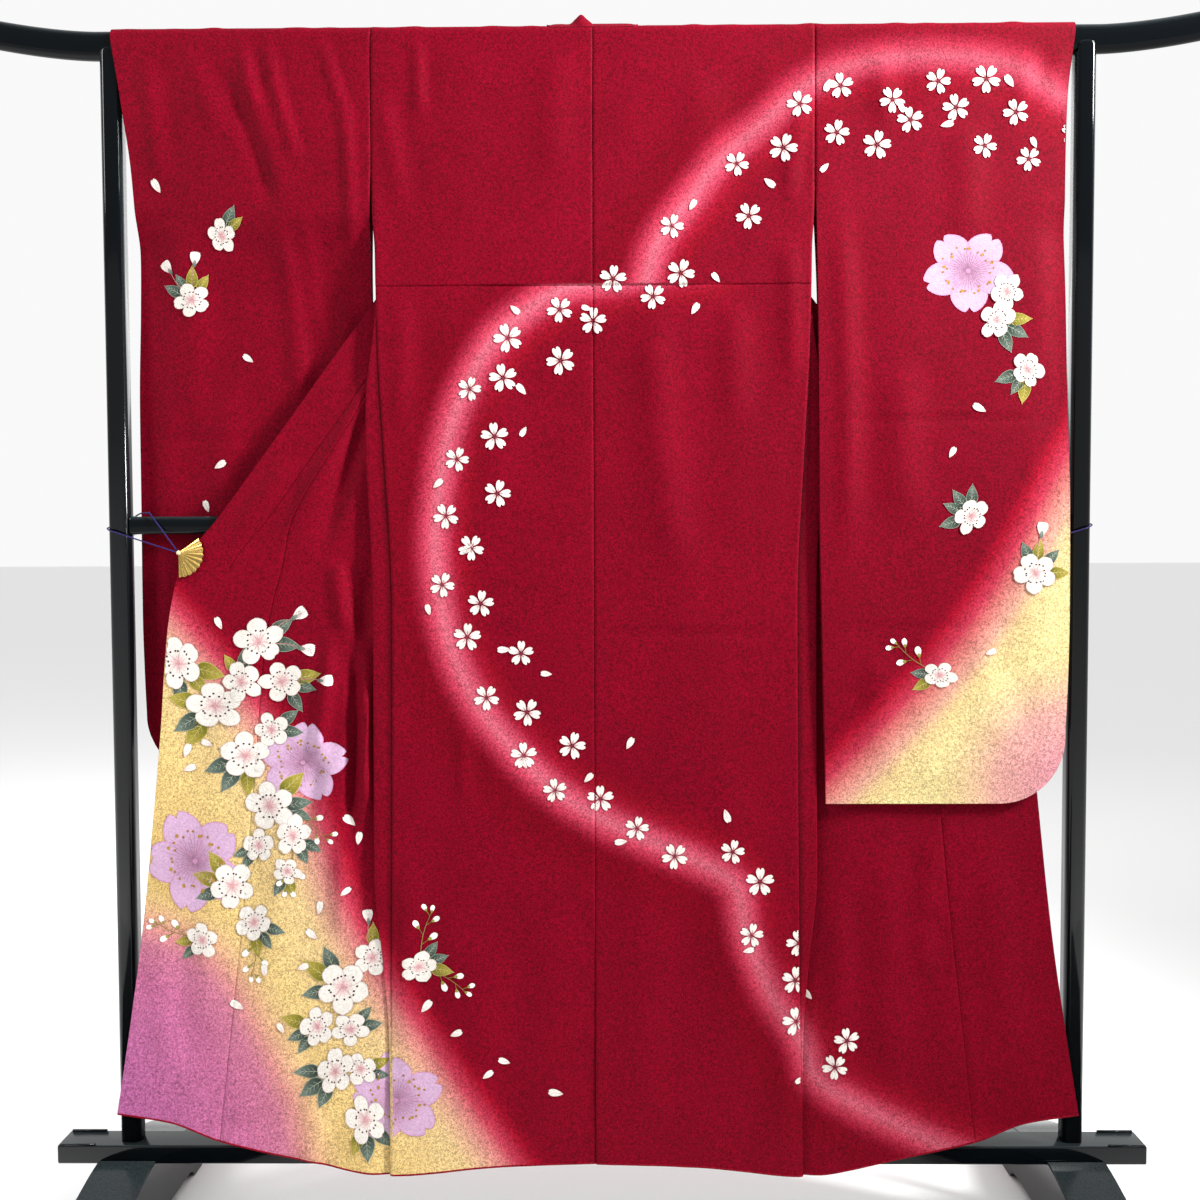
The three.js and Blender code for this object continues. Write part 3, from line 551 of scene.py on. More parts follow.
dyed_crepe = crepe("dyed_silk_crepe", GROUND, True)
painted_crepe = crepe("painted_silk_crepe", GROUND, True, 0.66, 0.9)
lining_silk = crepe("crimson_lining_silk", LINING, False)


def path(*knots):
    """A brushed line across the cloth, with ten points from each knot to the next."""
    return catmull(knots, 10)


def beside(line, x, z):
    """How far points lie to the left of a line, going along it, and how far along it they are."""
    places = np.stack([np.ravel(x), np.ravel(z)], axis=1)
    start = line[:-1]
    run = np.diff(line, axis=0)
    size = (run**2).sum(axis=1)
    side, far = [], []
    for block in np.array_split(places, max(1, len(places) // 6000)):
        off = block[:, None] - start[None]
        t = np.clip((off * run).sum(axis=2) / size, 0, 1)
        gap = off - t[..., None] * run
        away = np.hypot(gap[..., 0], gap[..., 1])
        nearest = away.argmin(axis=1)
        rows = np.arange(len(block))
        turn = run[nearest, 0] * off[rows, nearest, 1] - run[nearest, 1] * off[rows, nearest, 0]
        side.append(np.where(turn < 0, -1, 1) * away[rows, nearest])
        far.append((nearest + t[rows, nearest]) / len(run))
    shape = np.shape(x)
    return np.concatenate(side).reshape(shape), np.concatenate(far).reshape(shape)


def brushed(cloth, distance, stops, strength=1):
    """Lays dye over the cloth's colour: each stop is a distance, a colour and how much of it takes."""
    at = [stop[0] for stop in stops]
    shades = np.array([linear(stop[1]) for stop in stops])
    colour = np.stack([np.interp(distance, at, shades[:, i]) for i in range(3)], axis=-1)
    takes = np.interp(distance, at, [stop[2] for stop in stops]) * strength
    return mix(cloth, colour, takes[..., None])


# The pale band sweeps over the right sleeve and the back; above the waist tuck it lies further in.
# Each dye that follows is laid beside such a line: distance from it, colour, and how much of it takes.
HIGH_BAND = path((720, 1530), (638, 1585), (550, 1632), (414, 1640), (305, 1612), (224, 1547), (169, 1500),
                 (128, 1447), (87, 1393), (66, 1332), (52, 1270))
LOW_BAND = path((150, 1362), (59, 1344), (-43, 1327), (-105, 1290), (-147, 1250), (-182, 1189), (-203, 1134),
                (-217, 1065), (-225, 982), (-219, 899), (-203, 830), (-171, 760), (-123, 697), (-68, 641),
                (-4, 598), (86, 556), (141, 532), (190, 499), (204, 436), (225, 379), (246, 336), (282, 280),
                (303, 228), (352, 193), (423, 158), (493, 125), (580, 96), (700, 70))
BAND_DYE = [
    (-72, GROUND, 0), (-42, "#94081F", 0.8), (-27, "#A71632", 1), (-13, "#D04A64", 1), (0, "#DB6C80", 1),
    (13, "#D0425C", 1), (26, "#A21B36", 1), (38, "#7E001A", 0.9), (60, "#7A0017", 0.7), (110, GROUND, 0),
]
GOLD_DYE = [
    (-58, GROUND, 0), (-36, "#A80C28", 0.8), (-14, "#C84058", 1), (4, "#DD8A84", 1), (22, "#E6B091", 1),
    (46, "#EBCB90", 1), (120, "#EBCB86", 1), (230, "#E0BE78", 1), (330, "#EBCB90", 1),
]
FLAP_GOLD = path((-720, 985), (-660, 930), (-597, 872), (-515, 774), (-471, 718), (-419, 633), (-378, 505),
                 (-345, 424), (-291, 334), (-240, 258), (-197, 195), (-134, 102), (-80, 20))
FLAP_VIOLET = path((-760, 470), (-650, 436), (-552, 388), (-483, 273), (-441, 176), (-410, 20))
VIOLET_DYE = [
    (-70, "#EBCB90", 0), (-32, "#E6B08E", 0.8), (-8, "#DC928F", 1), (14, "#CD7B96", 1), (60, "#C87099", 1),
    (200, "#C06BA2", 1),
]
SLEEVE_GOLD = path((720, 1200), (643, 1061), (552, 897), (471, 787), (389, 697), (314, 621), (240, 550))
SLEEVE_ROSE = [(-90, "#F5DF9E", 0), (-50, "#F4CF9E", 0.8), (0, "#EFB0A4", 1), (70, "#E69CA4", 1)]
SLEEVE_GOLD_DYE = [
    (-62, GROUND, 0), (-40, "#B00E2C", 0.8), (-18, "#C43850", 1), (2, "#DC8078", 1), (20, "#E8A994", 1),
    (40, "#F3D296", 1), (70, "#F7DF9E", 1), (300, "#F7DF9E", 1),
]


def ground_dye(shape):
    return np.broadcast_to(np.array(linear(GROUND)), (*shape, 3)).copy()


def back_dye(x, z):
    """The band above the tuck, the band below it, and gold at the left of the hem."""
    cloth = ground_dye(np.shape(x))
    side, far = beside(HIGH_BAND, x, z)
    above = smooth((z - TUCK_Z) / 1.5)
    cloth = brushed(cloth, -side, BAND_DYE, above * np.interp(far, [0, 0.5, 0.8, 1], [0.56, 0.7, 0.92, 1]))
    side, far = beside(LOW_BAND, x, z)
    glow = np.interp(far, [0, 0.2, 0.5, 0.62, 0.75, 0.85, 1], [0.95, 1, 1, 0.9, 0.75, 0.85, 0.6])
    cloth = brushed(cloth, -side, BAND_DYE, (1 - above) * glow)
    side, _ = beside(FLAP_GOLD, x, z)
    return brushed(cloth, -side, GOLD_DYE, smooth((560 - z) / 40))


def flap_dye(x, z):
    """Dye of what is drawn aside: the end of the band at the right, and gold and violet at the left."""
    cloth = ground_dye(np.shape(x))
    side, _ = beside(LOW_BAND, x, z)
    cloth = brushed(cloth, -side, BAND_DYE, smooth((x - 60) / 60) * 0.8)
    side, _ = beside(FLAP_GOLD, x, z)
    cloth = brushed(cloth, -side, GOLD_DYE)
    side, _ = beside(FLAP_VIOLET, x, z)
    return brushed(cloth, -side, VIOLET_DYE)


def sleeve_dye(x, z):
    """Dye of a sleeve that is worn on the right; the left one's hidden side has it mirrored."""
    cloth = ground_dye(np.shape(x))
    side, _ = beside(HIGH_BAND, x, z)
    cloth = brushed(cloth, -side, BAND_DYE, 0.56 * smooth((z - 1420) / 60))
    side, _ = beside(SLEEVE_GOLD, x, z)
    cloth = brushed(cloth, side, SLEEVE_GOLD_DYE)
    corner = 110 - np.hypot(x - 660, z - 640)
    return brushed(cloth, corner, SLEEVE_ROSE, smooth((900 - z) / 60))


def plain_dye(x, _):
    return ground_dye(np.shape(x))


def grid_quads(rows, columns):
    at = np.arange(rows * columns).reshape(rows, columns)
    return np.stack([at[:-1, :-1], at[:-1, 1:], at[1:, 1:], at[1:, :-1]], axis=-1).reshape(-1, 4)


# A sheet's outermost two columns lie in its seams; their dye is darkened there as painted shade in the seams.
SEAM_PAINTED_SHADE = (0.4, 0.72)


def sheet_of(grid, outward, dye, thickness=CLOTH):
    """Cloth through a grid of points: its dyed face, its lining and its edges, laid out for baking."""
    rows, columns = grid.shape[:2]
    slant = np.cross(grid[1:, 1:] - grid[:-1, :-1], grid[1:, :-1] - grid[:-1, 1:])
    normal = np.zeros_like(grid)
    for r in (slice(0, -1), slice(1, None)):
        for c in (slice(0, -1), slice(1, None)):
            normal[r, c] += slant
    normal = unit(normal) * outward
    faces = grid_quads(rows, columns)
    if outward < 0:
        faces = faces[:, ::-1]
    count = rows * columns
    at = np.arange(count).reshape(rows, columns)
    rim = np.concatenate([at[0, :-1], at[:-1, -1], at[-1, :0:-1], at[:0:-1, 0]])
    after = np.roll(rim, -1)
    edge = np.stack([after, rim, rim + count, after + count], axis=1)
    if outward < 0:
        edge = edge[:, ::-1]
    across = np.linalg.norm(np.diff(grid, axis=1), axis=2).mean(axis=0)
    down = np.linalg.norm(np.diff(grid, axis=0), axis=2).mean(axis=1)
    u = np.append(0, np.cumsum(across)) / across.sum()
    v = 1 - np.append(0, np.cumsum(down)) / down.sum()
    flat = np.stack(np.broadcast_arrays(u[None], v[:, None]), axis=-1).reshape(-1, 2)
    # The dyed face and the lining lie side by side in the layout, and the edges in a strip over them.
    left = flat * (0.488, 0.97) + (0.005, 0.005)
    right = flat * (0.488, 0.97) + (0.507, 0.005)
    share = np.linspace(0.005, 0.995, len(rim) + 1)
    strip = np.zeros((len(rim), 4, 2))
    strip[:, :, 0] = np.stack([share[1:], share[:-1], share[:-1], share[1:]], axis=1)
    strip[:, :, 1] = (0.982, 0.982, 0.992, 0.992)
    colour = dye(grid[..., 0], grid[..., 2])
    # Painted shade in the seams: the outermost columns' dye is darkened.
    for column, dark in enumerate(SEAM_PAINTED_SHADE):
        colour[:, [column, -1 - column]] *= dark
    colour = colour.reshape(-1, 3)
    offset = normal * thickness / 2
    return {
        "points": np.vstack([(grid + offset).reshape(-1, 3), (grid - offset).reshape(-1, 3)]),
        "faces": np.vstack([faces, faces[:, ::-1] + count, edge]),
        "slots": np.repeat([0, 1, 1], [len(faces), len(faces), len(edge)]),
        "dye": np.vstack([colour, np.broadcast_to(linear(LINING), colour.shape)]),
        "flat": np.vstack([left[faces], right[faces[:, ::-1]], strip]),
    }


def rolled_edge(line, radius=1.5, sides=8):
    """The lining's padded roll (fuki), which shows along a hem."""
    line = line[np.append(True, np.linalg.norm(np.diff(line, axis=0), axis=1) > 0.5)]
    points, faces = tube(line, radius, sides)
    faces = np.array(faces[:-2])
    share = np.linspace(0.02, 0.98, sides + 1)
    along = np.linspace(0.02, 0.98, len(line))
    ring = np.repeat(np.arange(len(line) - 1), sides)
    side = np.tile(np.arange(sides), len(line) - 1)
    flat = np.stack([
        np.stack([share[side], share[side], share[side + 1], share[side + 1]], axis=1),
        np.stack([along[ring], along[ring + 1], along[ring + 1], along[ring]], axis=1),
    ], axis=-1)
    faces = faces[:, [0, 3, 2, 1]]
    return {
        "points": points,
        "faces": faces,
        "slots": np.ones(len(faces), int),
        "dye": np.broadcast_to(linear(LINING), points.shape).copy(),
        "flat": flat,
    }


def colour_points(mesh, shades):
    """Gives each point of a mesh its dye, which the crepe shows."""
    colour = mesh.color_attributes.new("dye", "FLOAT_COLOR", "POINT")
    shades = np.hstack([shades, np.ones((len(shades), 1))])
    colour.data.foreach_set("color", shades.astype(np.float32).ravel())


def sewn(name, sheets, replaced):
    """One sewn piece of the kimono from its sheets, standing for its solids in the frame."""
    points, faces, flats = [], [], []
    start = 0
    for number, sheet in enumerate(sheets):
        points.append(sheet["points"])
        faces.append(sheet["faces"] + start)
        start += len(sheet["points"])
        flats.append((sheet["flat"] + (number, 0)) / (len(sheets), 1))
    silks = [dyed_crepe, lining_silk]
    made = new_piece(name, np.vstack(points), np.vstack(faces).tolist(), silks, "silk")
    mesh = made.data
    slots = np.concatenate([sheet["slots"] for sheet in sheets])
    mesh.polygons.foreach_set("material_index", slots.astype(np.int32))
    colour_points(mesh, np.vstack([sheet["dye"] for sheet in sheets]))
    layout = mesh.uv_layers.new(name="OFBake")
    layout.data.foreach_set("uv", np.vstack(flats).astype(np.float32).ravel())
    mesh.set_sharp_from_angle(angle=math.radians(62))
    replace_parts(made, *replaced)
    return made


# The heights of the creases in the tables below count in these millimetres.
FOLD_HEIGHT = 2.1


def folds(x, z, lines):
    """Soft ridges (and troughs, where the height is negative): each runs from one point to another,
    with its width, its height towards the viewer and how far its middle bows to its left."""
    rise = np.zeros(np.broadcast(x, z).shape)
    for x0, z0, x1, z1, width, height, bow in lines:
        length = math.hypot(x1 - x0, z1 - z0)
        ax = (x1 - x0) / length
        az = (z1 - z0) / length
        t = ((x - x0) * ax + (z - z0) * az) / length
        across = (z - z0) * ax - (x - x0) * az - bow * 4 * t * (1 - t)
        form = np.exp(-(across / width)**2) - 0.4 * np.exp(-((across - 1.7 * width) / (1.3 * width))**2)
        rise += FOLD_HEIGHT * height * form * smooth(t * 3.5 + 0.1) * smooth((1 - t) * 3.5 + 0.1)
    return rise


def sway(x, z, phase, size=1.0):
    """The slow unevenness of cloth that hangs: long waves down its length and short ones across it."""
    return size * (0.9 * np.sin(x / 47 + z / 610 + phase) * np.sin(z / 330 + 2.1 * phase)
                   + 0.55 * np.sin(x / 23 - z / 240 + 3 * phase) * np.sin(z / 170 + phase)
                   + 0.22 * np.sin(x / 13 + z / 37 + 5 * phase) * np.sin(x / 41 - z / 29 + phase))


def hung(rise, height):
    """Creases as they are on the bar: shallow at its shoulder, and never pressed into it."""
    return np.maximum(rise, -1.2 - (HANG_Z - height) / 20) * (0.35 + 0.65 * smooth((HANG_Z - height) / 40))


def edged(count, fine=(0.0012, 0.0035, 0.008, 0.016)):
    """Shares from 0 to 1 that lie closer together at both ends."""
    inner = np.linspace(fine[-1], 1 - fine[-1], count - 2 * len(fine))[1:-1]
    return np.concatenate([[0], fine, inner, 1 - np.array(fine[::-1]), [1]])


# ---- body ----
# Each half of the body is one length of silk, folded over the shoulder, with no seam there: the back
# hangs straight, and the front is drawn aside behind it. A tuck is stitched across the waist.

# Level by level, from the bar down to the hem: how far out from the garment's middle each line of the
# cloth lies, and how deep.
BACK = table("side depth", [
    (HANG_Z, 304.5, -LAP_RADIUS), (1500, 304, -18.5), (1436, 303.5, -21), (1381, 300, -22.5),
    (1311, 299, -24), (1231, 297, -25), (1100, 290, -26.5), (899, 281, -28.5), (600, 283, -30.5),
    (HEM_Z, 290, -33),
])
FRONT = table("turn turn_depth edge edge_depth ease", [
    (HANG_Z, 27, 15, 47, 18.5, 60), (1600, 50, 15.2, 96, 18.5, 60), (1550, 62, 13.5, 132, 17, 60),
    (1500, 78, 10, 168.5, 13, 60), (1400, 104, 0, 241, 3, 80), (1311, 127, -11, 306, -8, 90),
    (1231, 151, -14, 364.6, -12, 90), (1178, 170, -15, 403, -14, 90), (1100, 194, -16, 460, -15, 90),
    (1017, 216, -16, 520.5, -15.5, 90), (935, 238, -14, 580, -16, 100), (844, 246, -10, 597, -18, 110),
    (700, 252, -10, 608, -20, 120), (550, 258, -16, 621, -24, 100), (400, 265, -21, 636, -27, 80),
    (250, 277, -25, 655, -30, 60), (HEM_Z, 285, -28.2, 675, -33, 40),
])
SEAM = table("inset", [
    (1560, 61), (1500, 64), (1436, 69), (1333.5, 69), (1330.5, 74), (1231, 79), (1150, 88), (1017, 104),
    (935, 142), (844, 138), (700, 135), (400, 136), (HEM_Z, 144),
])
FRONT_SIDE = table("depth", [
    (HANG_Z, 12.8), (1600, 12.5), (1500, 10), (1436, 5), (1381, -3), (1330, -12), (1290, -21.5),
])
SIDE_STRIP = table("width", [
    (1320, 0.5), (1290, 2), (1173, 19), (1080, 24), (900, 25), (520, 24), (400, 12), (300, 3), (200, 0.5),
])
HEM = table("height", [(0, 106), (140, 101), (288, 88), (425, 113), (530, 137), (600, 164), (675, 176)])
SIDE_SEAM_TOP = 1290
COLLAR_END_Z = 935
COLLAR_WIDTH = 69
NECK_HALF = 64
NECK_BEND = 0.95
# How far out the clips hold the fronts.
HELD_OUT = 560
ROW_STEP = 7
LAP_ROWS = 10
# Columns of a front: its strip by the side seam, the bend there, the run inwards and the fold's turn.
SIDE_COLUMNS = 5
BEND_COLUMNS = 6
INNER_COLUMNS = 33
TURN_COLUMNS = 7
# Creases of each half: where one starts and ends, its width, its height, and how far its middle bows.
BACK_FOLDS = {
    -1: [
        (-246, 1684, -242, 1560, 8, 2.0, 0), (-108, 854, -282, 852, 5, -0.7, 0),
        (-280, 834, -221, 836, 4, -0.7, 0), (-189, 730, -188, 606, 11, 1.2, 2),
        (-60, 1655, -66, 1480, 24, 1.2, 5), (-270, 1330, -276, 1120, 16, 1.6, 3),
        (-150, 1310, -148, 1010, 34, 1.5, 7), (-262, 560, -270, 190, 20, 1.7, -4),
        (-70, 480, -74, 120, 36, 1.8, 6), (-160, 420, -166, 105, 30, 1.5, -6),
        (-300, 1600, -268, 1430, 13, 1.5, 5),
    ],
    1: [
        (76, 1320, 114, 915, 26, 2.0, -8), (186, 1320, 186, 1136, 22, 1.8, 3),
        (-2, 854, 267, 853, 5, -0.7, 0), (140, 1640, 132, 1480, 30, 1.3, 5),
        (262, 1400, 270, 1180, 15, 1.5, 3), (60, 560, 76, 130, 34, 1.9, -6),
        (178, 700, 186, 300, 30, 1.7, 7), (250, 520, 262, 120, 20, 1.8, 4),
        (292, 1590, 262, 1440, 13, 1.5, -5),
    ],
}
FLAP_FOLDS = {
    -1: [
        (-342, 850, -350, 560, 9, -6.5, 4), (-372, 850, -398, 660, 10, 4.2, 3),
        (-322, 800, -322, 600, 8, 4.0, -2), (-318, 960, -330, 830, 12, -4.0, 0),
        (-366, 960, -352, 850, 11, 3.4, 0), (-361, 560, -362, 430, 12, 3.4, 2),
        (-300, 1230, -436, 990, 15, 3.6, 6), (-416, 1096, -524, 956, 14, 2.8, -4),
        (-322, 1180, -392, 960, 12, -2.8, 5), (-412, 252, -530, 128, 15, 2.8, 4),
        (-388, 170, -416, 96, 14, 2.6, 0), (-339, 582, -223, 582, 5, -0.7, 0),
        (-617, 410, -606, 160, 20, 1.8, 0), (-470, 860, -560, 600, 22, 2.2, 8),
        (-520, 560, -560, 240, 26, 2.2, -6), (-440, 700, -470, 330, 24, 2.2, 8),
        (-300, 500, -306, 150, 14, 2.4, 0), (-392, 700, -420, 560, 12, -2.2, 4),
    ],
    1: [
        (472, 560, 452, 440, 15, 1.8, 0), (452, 440, 460, 355, 15, 1.6, 0),
        (330, 520, 336, 180, 18, 1.8, 4), (400, 600, 420, 150, 24, 1.6, -8),
        (540, 560, 570, 200, 24, 1.5, 5), (300, 1170, 420, 1000, 16, 1.6, -4),
    ],
}


def row_heights(top, bottom, *fine):
    """Heights of the rows down a panel, and how far round the bar's shoulder each one lies."""
    heights = np.linspace(top, bottom, int((top - bottom) / ROW_STEP))
    extra = np.array([near + step for near in fine for step in (5, 2.4, 1.2, 0.6, 0, -0.6, -1.2, -2.4, -5)])
    if len(extra):
        clear = np.abs(heights[:, None] - np.array(fine)[None]).min(axis=1) > 6
        heights = np.sort(np.concatenate([heights[clear], extra]))[::-1]
    lap = np.linspace(0, 1, LAP_ROWS + 1)[:-1]
    return np.append(np.full(LAP_ROWS, top), heights), np.append(lap, np.ones(len(heights)))


def over_bar(x, depth, height, lap, start=0.0):
    """Points of cloth that bends over the bar's shoulder and then hangs."""
    angle = mix(start, math.pi / 2, lap)
    ruck = 1.4 * np.maximum(0, np.sin(x / 29 + 0.6) * np.sin(x / 12.5) + 0.15 * np.sin(x / 5))
    x, y, z = np.broadcast_arrays(x, depth * np.sin(angle), height + (LAP_RADIUS + ruck) * np.cos(angle))
    return np.stack([x, y, z], axis=-1)


def at_hem(points):
    """Lets the lower rows down or up to the hem line, which isn't level."""
    out = np.abs(points[..., 0] - CENTRE_X)
    fall = (np.clip(HANG_Z - points[..., 2], 0, None) / (HANG_Z - HEM_Z))**3
    points[..., 2] += fall * (HEM["height"](out) - HEM_Z)
    return points


def row_of(x, z):
    """The height, before the hem is let down, of the cloth that ends up at a place."""
    height = np.array(z, float)
    drop = HEM["height"](np.abs(x - CENTRE_X)) - HEM_Z
    for _ in range(4):
        height = z - (np.clip(HANG_Z - height, 0, None) / (HANG_Z - HEM_Z))**3 * drop
    return height


def back_depth(side, out, height):
    """Depth of the back, with its creases, its seams and the step at the waist tuck."""
    x = CENTRE_X + side * out
    across = 0.5 + 0.5 * smooth((170 - out) / 50)
    tuck = np.where(height > TUCK_Z, 1.6 * smooth((1436 - height) / 100), 0) * across
    crack = 0.8 * np.exp(-((height - TUCK_Z + 1.2) / 1.2)**2) * across
    rise = folds(x, height, BACK_FOLDS[side]) + sway(x, height, 0.7 if side > 0 else 2.3)
    rise = hung(rise, height)
    edge = BACK["side"](height) - out
    seams = 1.5 * np.exp(-(out / 1.1)**2) + 1.7 * np.exp(-(edge / 1.2)**2)
    return BACK["depth"](height) - tuck + crack - rise * smooth(edge / 22 + 0.15) + seams


def outer_depth(side, out, height):
    """Depth of the part of a front panel that shows, from its fold to its front edge."""
    depth = mix(FRONT["turn_depth"](height) + 2, FRONT["edge_depth"](height),
                smooth((out - FRONT["turn"](height)) / FRONT["ease"](height)))
    x = CENTRE_X + side * out
    edge = FRONT["edge"](height)
    seam = edge - SEAM["inset"](height)
    sewn_in = 1.4 * np.exp(-((out - seam) / 1.1)**2)
    collar_seam = np.exp(-((out - edge + COLLAR_WIDTH) / 1.1)**2) * smooth((height - COLLAR_END_Z) / 4)
    clip = np.hypot(out - HELD_OUT, height - CLIP_Z)
    rise = folds(x, height, FLAP_FOLDS[side]) + sway(x, height, 1.1 if side > 0 else 4.2, 0.8)
    free = smooth((1500 - height) / 120) * smooth(clip / 60 - 0.6)
    free = free * smooth((out - FRONT["turn"](height)) / 30)
    return depth + sewn_in + 1.4 * collar_seam - rise * free


def back_sheet(side):
    height, lap = row_heights(HANG_Z, HEM_Z, TUCK_Z)
    height = height[:, None]
    out = BACK["side"](height) * edged(54)[None]
    start = NECK_BEND * (1 - smooth((out - NECK_HALF + 6) / 10))
    grid = over_bar(CENTRE_X + side * out, back_depth(side, out, height), height, lap[:, None], start)
    return at_hem(grid)


def front_sheet(side):
    """In from the side seam to a fold, round it and out again; by the neck it has no fold."""
    height, lap = row_heights(HANG_Z, HEM_Z)
    height = height[:, None]
    folded = np.clip((1560 - height) / 60, 0, 1)
    seam_out = BACK["side"](height)
    strip = SIDE_STRIP["width"](height)
    round_strip = 0.15 + 0.9 * np.clip(strip / 19, 0, 1)
    seam_depth = np.where(height >= SIDE_SEAM_TOP, FRONT_SIDE["depth"](height), BACK["depth"](height) + 1.5)
    t = np.linspace(0, 1, SIDE_COLUMNS + 1)[None, :-1]
    strip_out = seam_out + strip * t
    strip_depth = seam_depth + 0.2 * t
    angle = np.linspace(-0.5, 0.5, BEND_COLUMNS)[None] * math.pi
    bend_out = seam_out + strip + round_strip * np.cos(angle)
    bend_depth = seam_depth + 0.2 + round_strip * (1 + np.sin(angle))
    turn = mix(NECK_HALF + 12, FRONT["turn"](height), folded)
    turn_depth = FRONT["turn_depth"](height)
    t = np.linspace(0, 1, INNER_COLUMNS + 1)[None, 1:]
    inner_out = mix(seam_out + strip, turn + 2, t)
    inner_depth = mix(seam_depth + 0.2 + 2 * round_strip, turn_depth - 2, smooth(t * 1.3))
    angle = np.linspace(-0.42, 0.42, TURN_COLUMNS)[None] * math.pi
    fold_out = FRONT["turn"](height) + 2 - 2 * np.cos(angle)
    fold_depth = turn_depth + 2 * np.sin(angle)
    t = edged(46)[None, 4:]
    seam = FRONT["edge"](height) - SEAM["inset"](height)
    outer_out = mix(FRONT["turn"](height), seam, t)
    outer = outer_depth(side, outer_out, height)
    spread = np.linspace(0, 1, TURN_COLUMNS + t.shape[1] + 1)[None, 1:]
    neck_out = mix(NECK_HALF + 12, NECK_HALF + 0.3, spread)
    beyond_out = mix(neck_out, np.hstack([fold_out, outer_out]), folded)
    beyond = mix(turn_depth - 2 + 0 * spread, np.hstack([fold_depth, outer]), folded)
    out = np.hstack([strip_out, bend_out, inner_out, beyond_out])
    depth = np.hstack([strip_depth + 0 * strip_out, bend_depth, inner_depth, beyond])
    return at_hem(over_bar(CENTRE_X + side * out, depth, height, lap[:, None]))


def front_dye(x, z):
    """The front's dye shows on the strip by the side seam and on the part that is drawn aside; the
    hidden face between them has the band over its shoulder."""
    near = SIDE_COLUMNS + BEND_COLUMNS
    drawn = near + INNER_COLUMNS
    cloth = flap_dye(x, z)
    side, _ = beside(HIGH_BAND, np.abs(x[:, near:drawn]), z[:, near:drawn])
    hidden = ground_dye(side.shape)
    cloth[:, near:drawn] = brushed(hidden, -side, BAND_DYE, smooth((z[:, near:drawn] - 1350) / 60))
    return cloth


def body(name, side):
    back = back_sheet(side)
    front = front_sheet(side)
    sheets = [
        sheet_of(back, -side, back_dye),
        sheet_of(front, -side, front_dye),
        rolled_edge(back[-1]),
        rolled_edge(front[-1]),
    ]
    return sewn(f"body_{name}", sheets, [f"body_{name}_back", f"body_{name}_front"])


bodies = {name: body(name, side) for name, side in SIDES.items()}


# ---- overlap panels ----
# A long narrow panel (okumi) is sewn to the edge of each front. Its top runs to a point beside the
# collar, and below the collar's end it is a hand wide.

OVERLAP_TOP = 1330.5


def drawn_strip(side, height, start, end, shares):
    """A level strip of the cloth that is drawn aside, from one distance out to another."""
    out = mix(start, end, shares[None])
    depth = outer_depth(side, out, height)
    return at_hem(over_bar(CENTRE_X + side * out, depth, height, 1.0))


def overlap(name, side):
    height = row_heights(OVERLAP_TOP, HEM_Z, COLLAR_END_Z)[0][LAP_ROWS:, None]
    edge = FRONT["edge"](height)
    collar_side = np.where(height > COLLAR_END_Z, COLLAR_WIDTH, 0)
    grid = drawn_strip(side, height, edge - SEAM["inset"](height), edge - collar_side, edged(28))
    sheets = [sheet_of(grid, -side, flap_dye), rolled_edge(grid[-1])]
    return sewn(f"overlap_panel_{name}", sheets, [f"overlap_{name}"])


overlaps = {name: overlap(name, side) for name, side in SIDES.items()}


# ---- collar ----
# The collar is one long band, doubled over, sewn round the back of the neck and down both front edges.
# It falls forward over the bar, and at the nape its fold stands up in a small point.

NAPE_SECTION = [(-9.4, 1684.5), (3, 1693), (14.6, 1680), (17, 1646)]
NAPE_OUT = [0, 8, 15.5, 23, 31, 44]
NAPE_POINT_OUT = 15.5
NAPE_POINT_HEIGHT = 14
# Across the band from its seam to its fold: distance out, depth and height, section by section.
NECK_SECTIONS = [
    [(57, -9.2, 1684.8), (54, 4, 1692.5), (52, 14.8, 1678), (54, 18, 1641)],
    [(62.6, -2.4, 1690.6), (58, 8, 1690.5), (54, 15.4, 1674), (60, 18.2, 1637)],
    [(62.8, 7, 1688.6), (57.6, 13.4, 1684), (50, 16.8, 1662), (68, 18.6, 1630)],
    [(62.8, 12.2, 1681.5), (56.5, 15.2, 1677), (49, 17.2, 1656), (73, 19, 1625)],
    [(62.8, 13.8, 1668), (55, 16.4, 1663), (48, 17.6, 1650), (78, 19.4, 1619)],
    [(62.8, 14.2, 1640), (57, 16.4, 1637), (56, 18, 1628), (90, 19.6, 1605)],
    [(63, 15.5, 1600), (65, 17.1, 1599), (76, 18.4, 1592), (106, 19, 1581)],
    [(65.4, 14.6, 1560), (72, 15.2, 1559), (88, 16.2, 1556), (129, 17.2, 1553)],
]


def collar_half(side):
    shares = edged(16, (0.008, 0.024, 0.05))

    def section(knots):
        line = catmull(np.array(knots, float), 12)
        at = np.arange(len(line)) / (len(line) - 1)
        line = np.stack([np.interp(shares, at, line[:, i]) for i in range(3)], axis=1)
        line[:, 0] = CENTRE_X + side * line[:, 0]
        return line

    sections = []
    for out in NAPE_OUT:
        near = max(0, 1 - abs(out - NAPE_POINT_OUT) / NAPE_POINT_OUT) if side < 0 else 0
        raised = [0, near * NAPE_POINT_HEIGHT, 0, 0]
        sections.append(section([(out, y, z + more) for (y, z), more in zip(NAPE_SECTION, raised)]))
    sections += [section(knots) for knots in NECK_SECTIONS]
    height = np.linspace(1500, COLLAR_END_Z + 1, 84)[:, None]
    edge = FRONT["edge"](height)
    straight = drawn_strip(side, height, edge - np.minimum(COLLAR_WIDTH, SEAM["inset"](height)), edge, shares)
    bent = catmull(np.array([*sections, straight[0], straight[3]]), 7)[:-8]
    return np.concatenate([bent, straight])


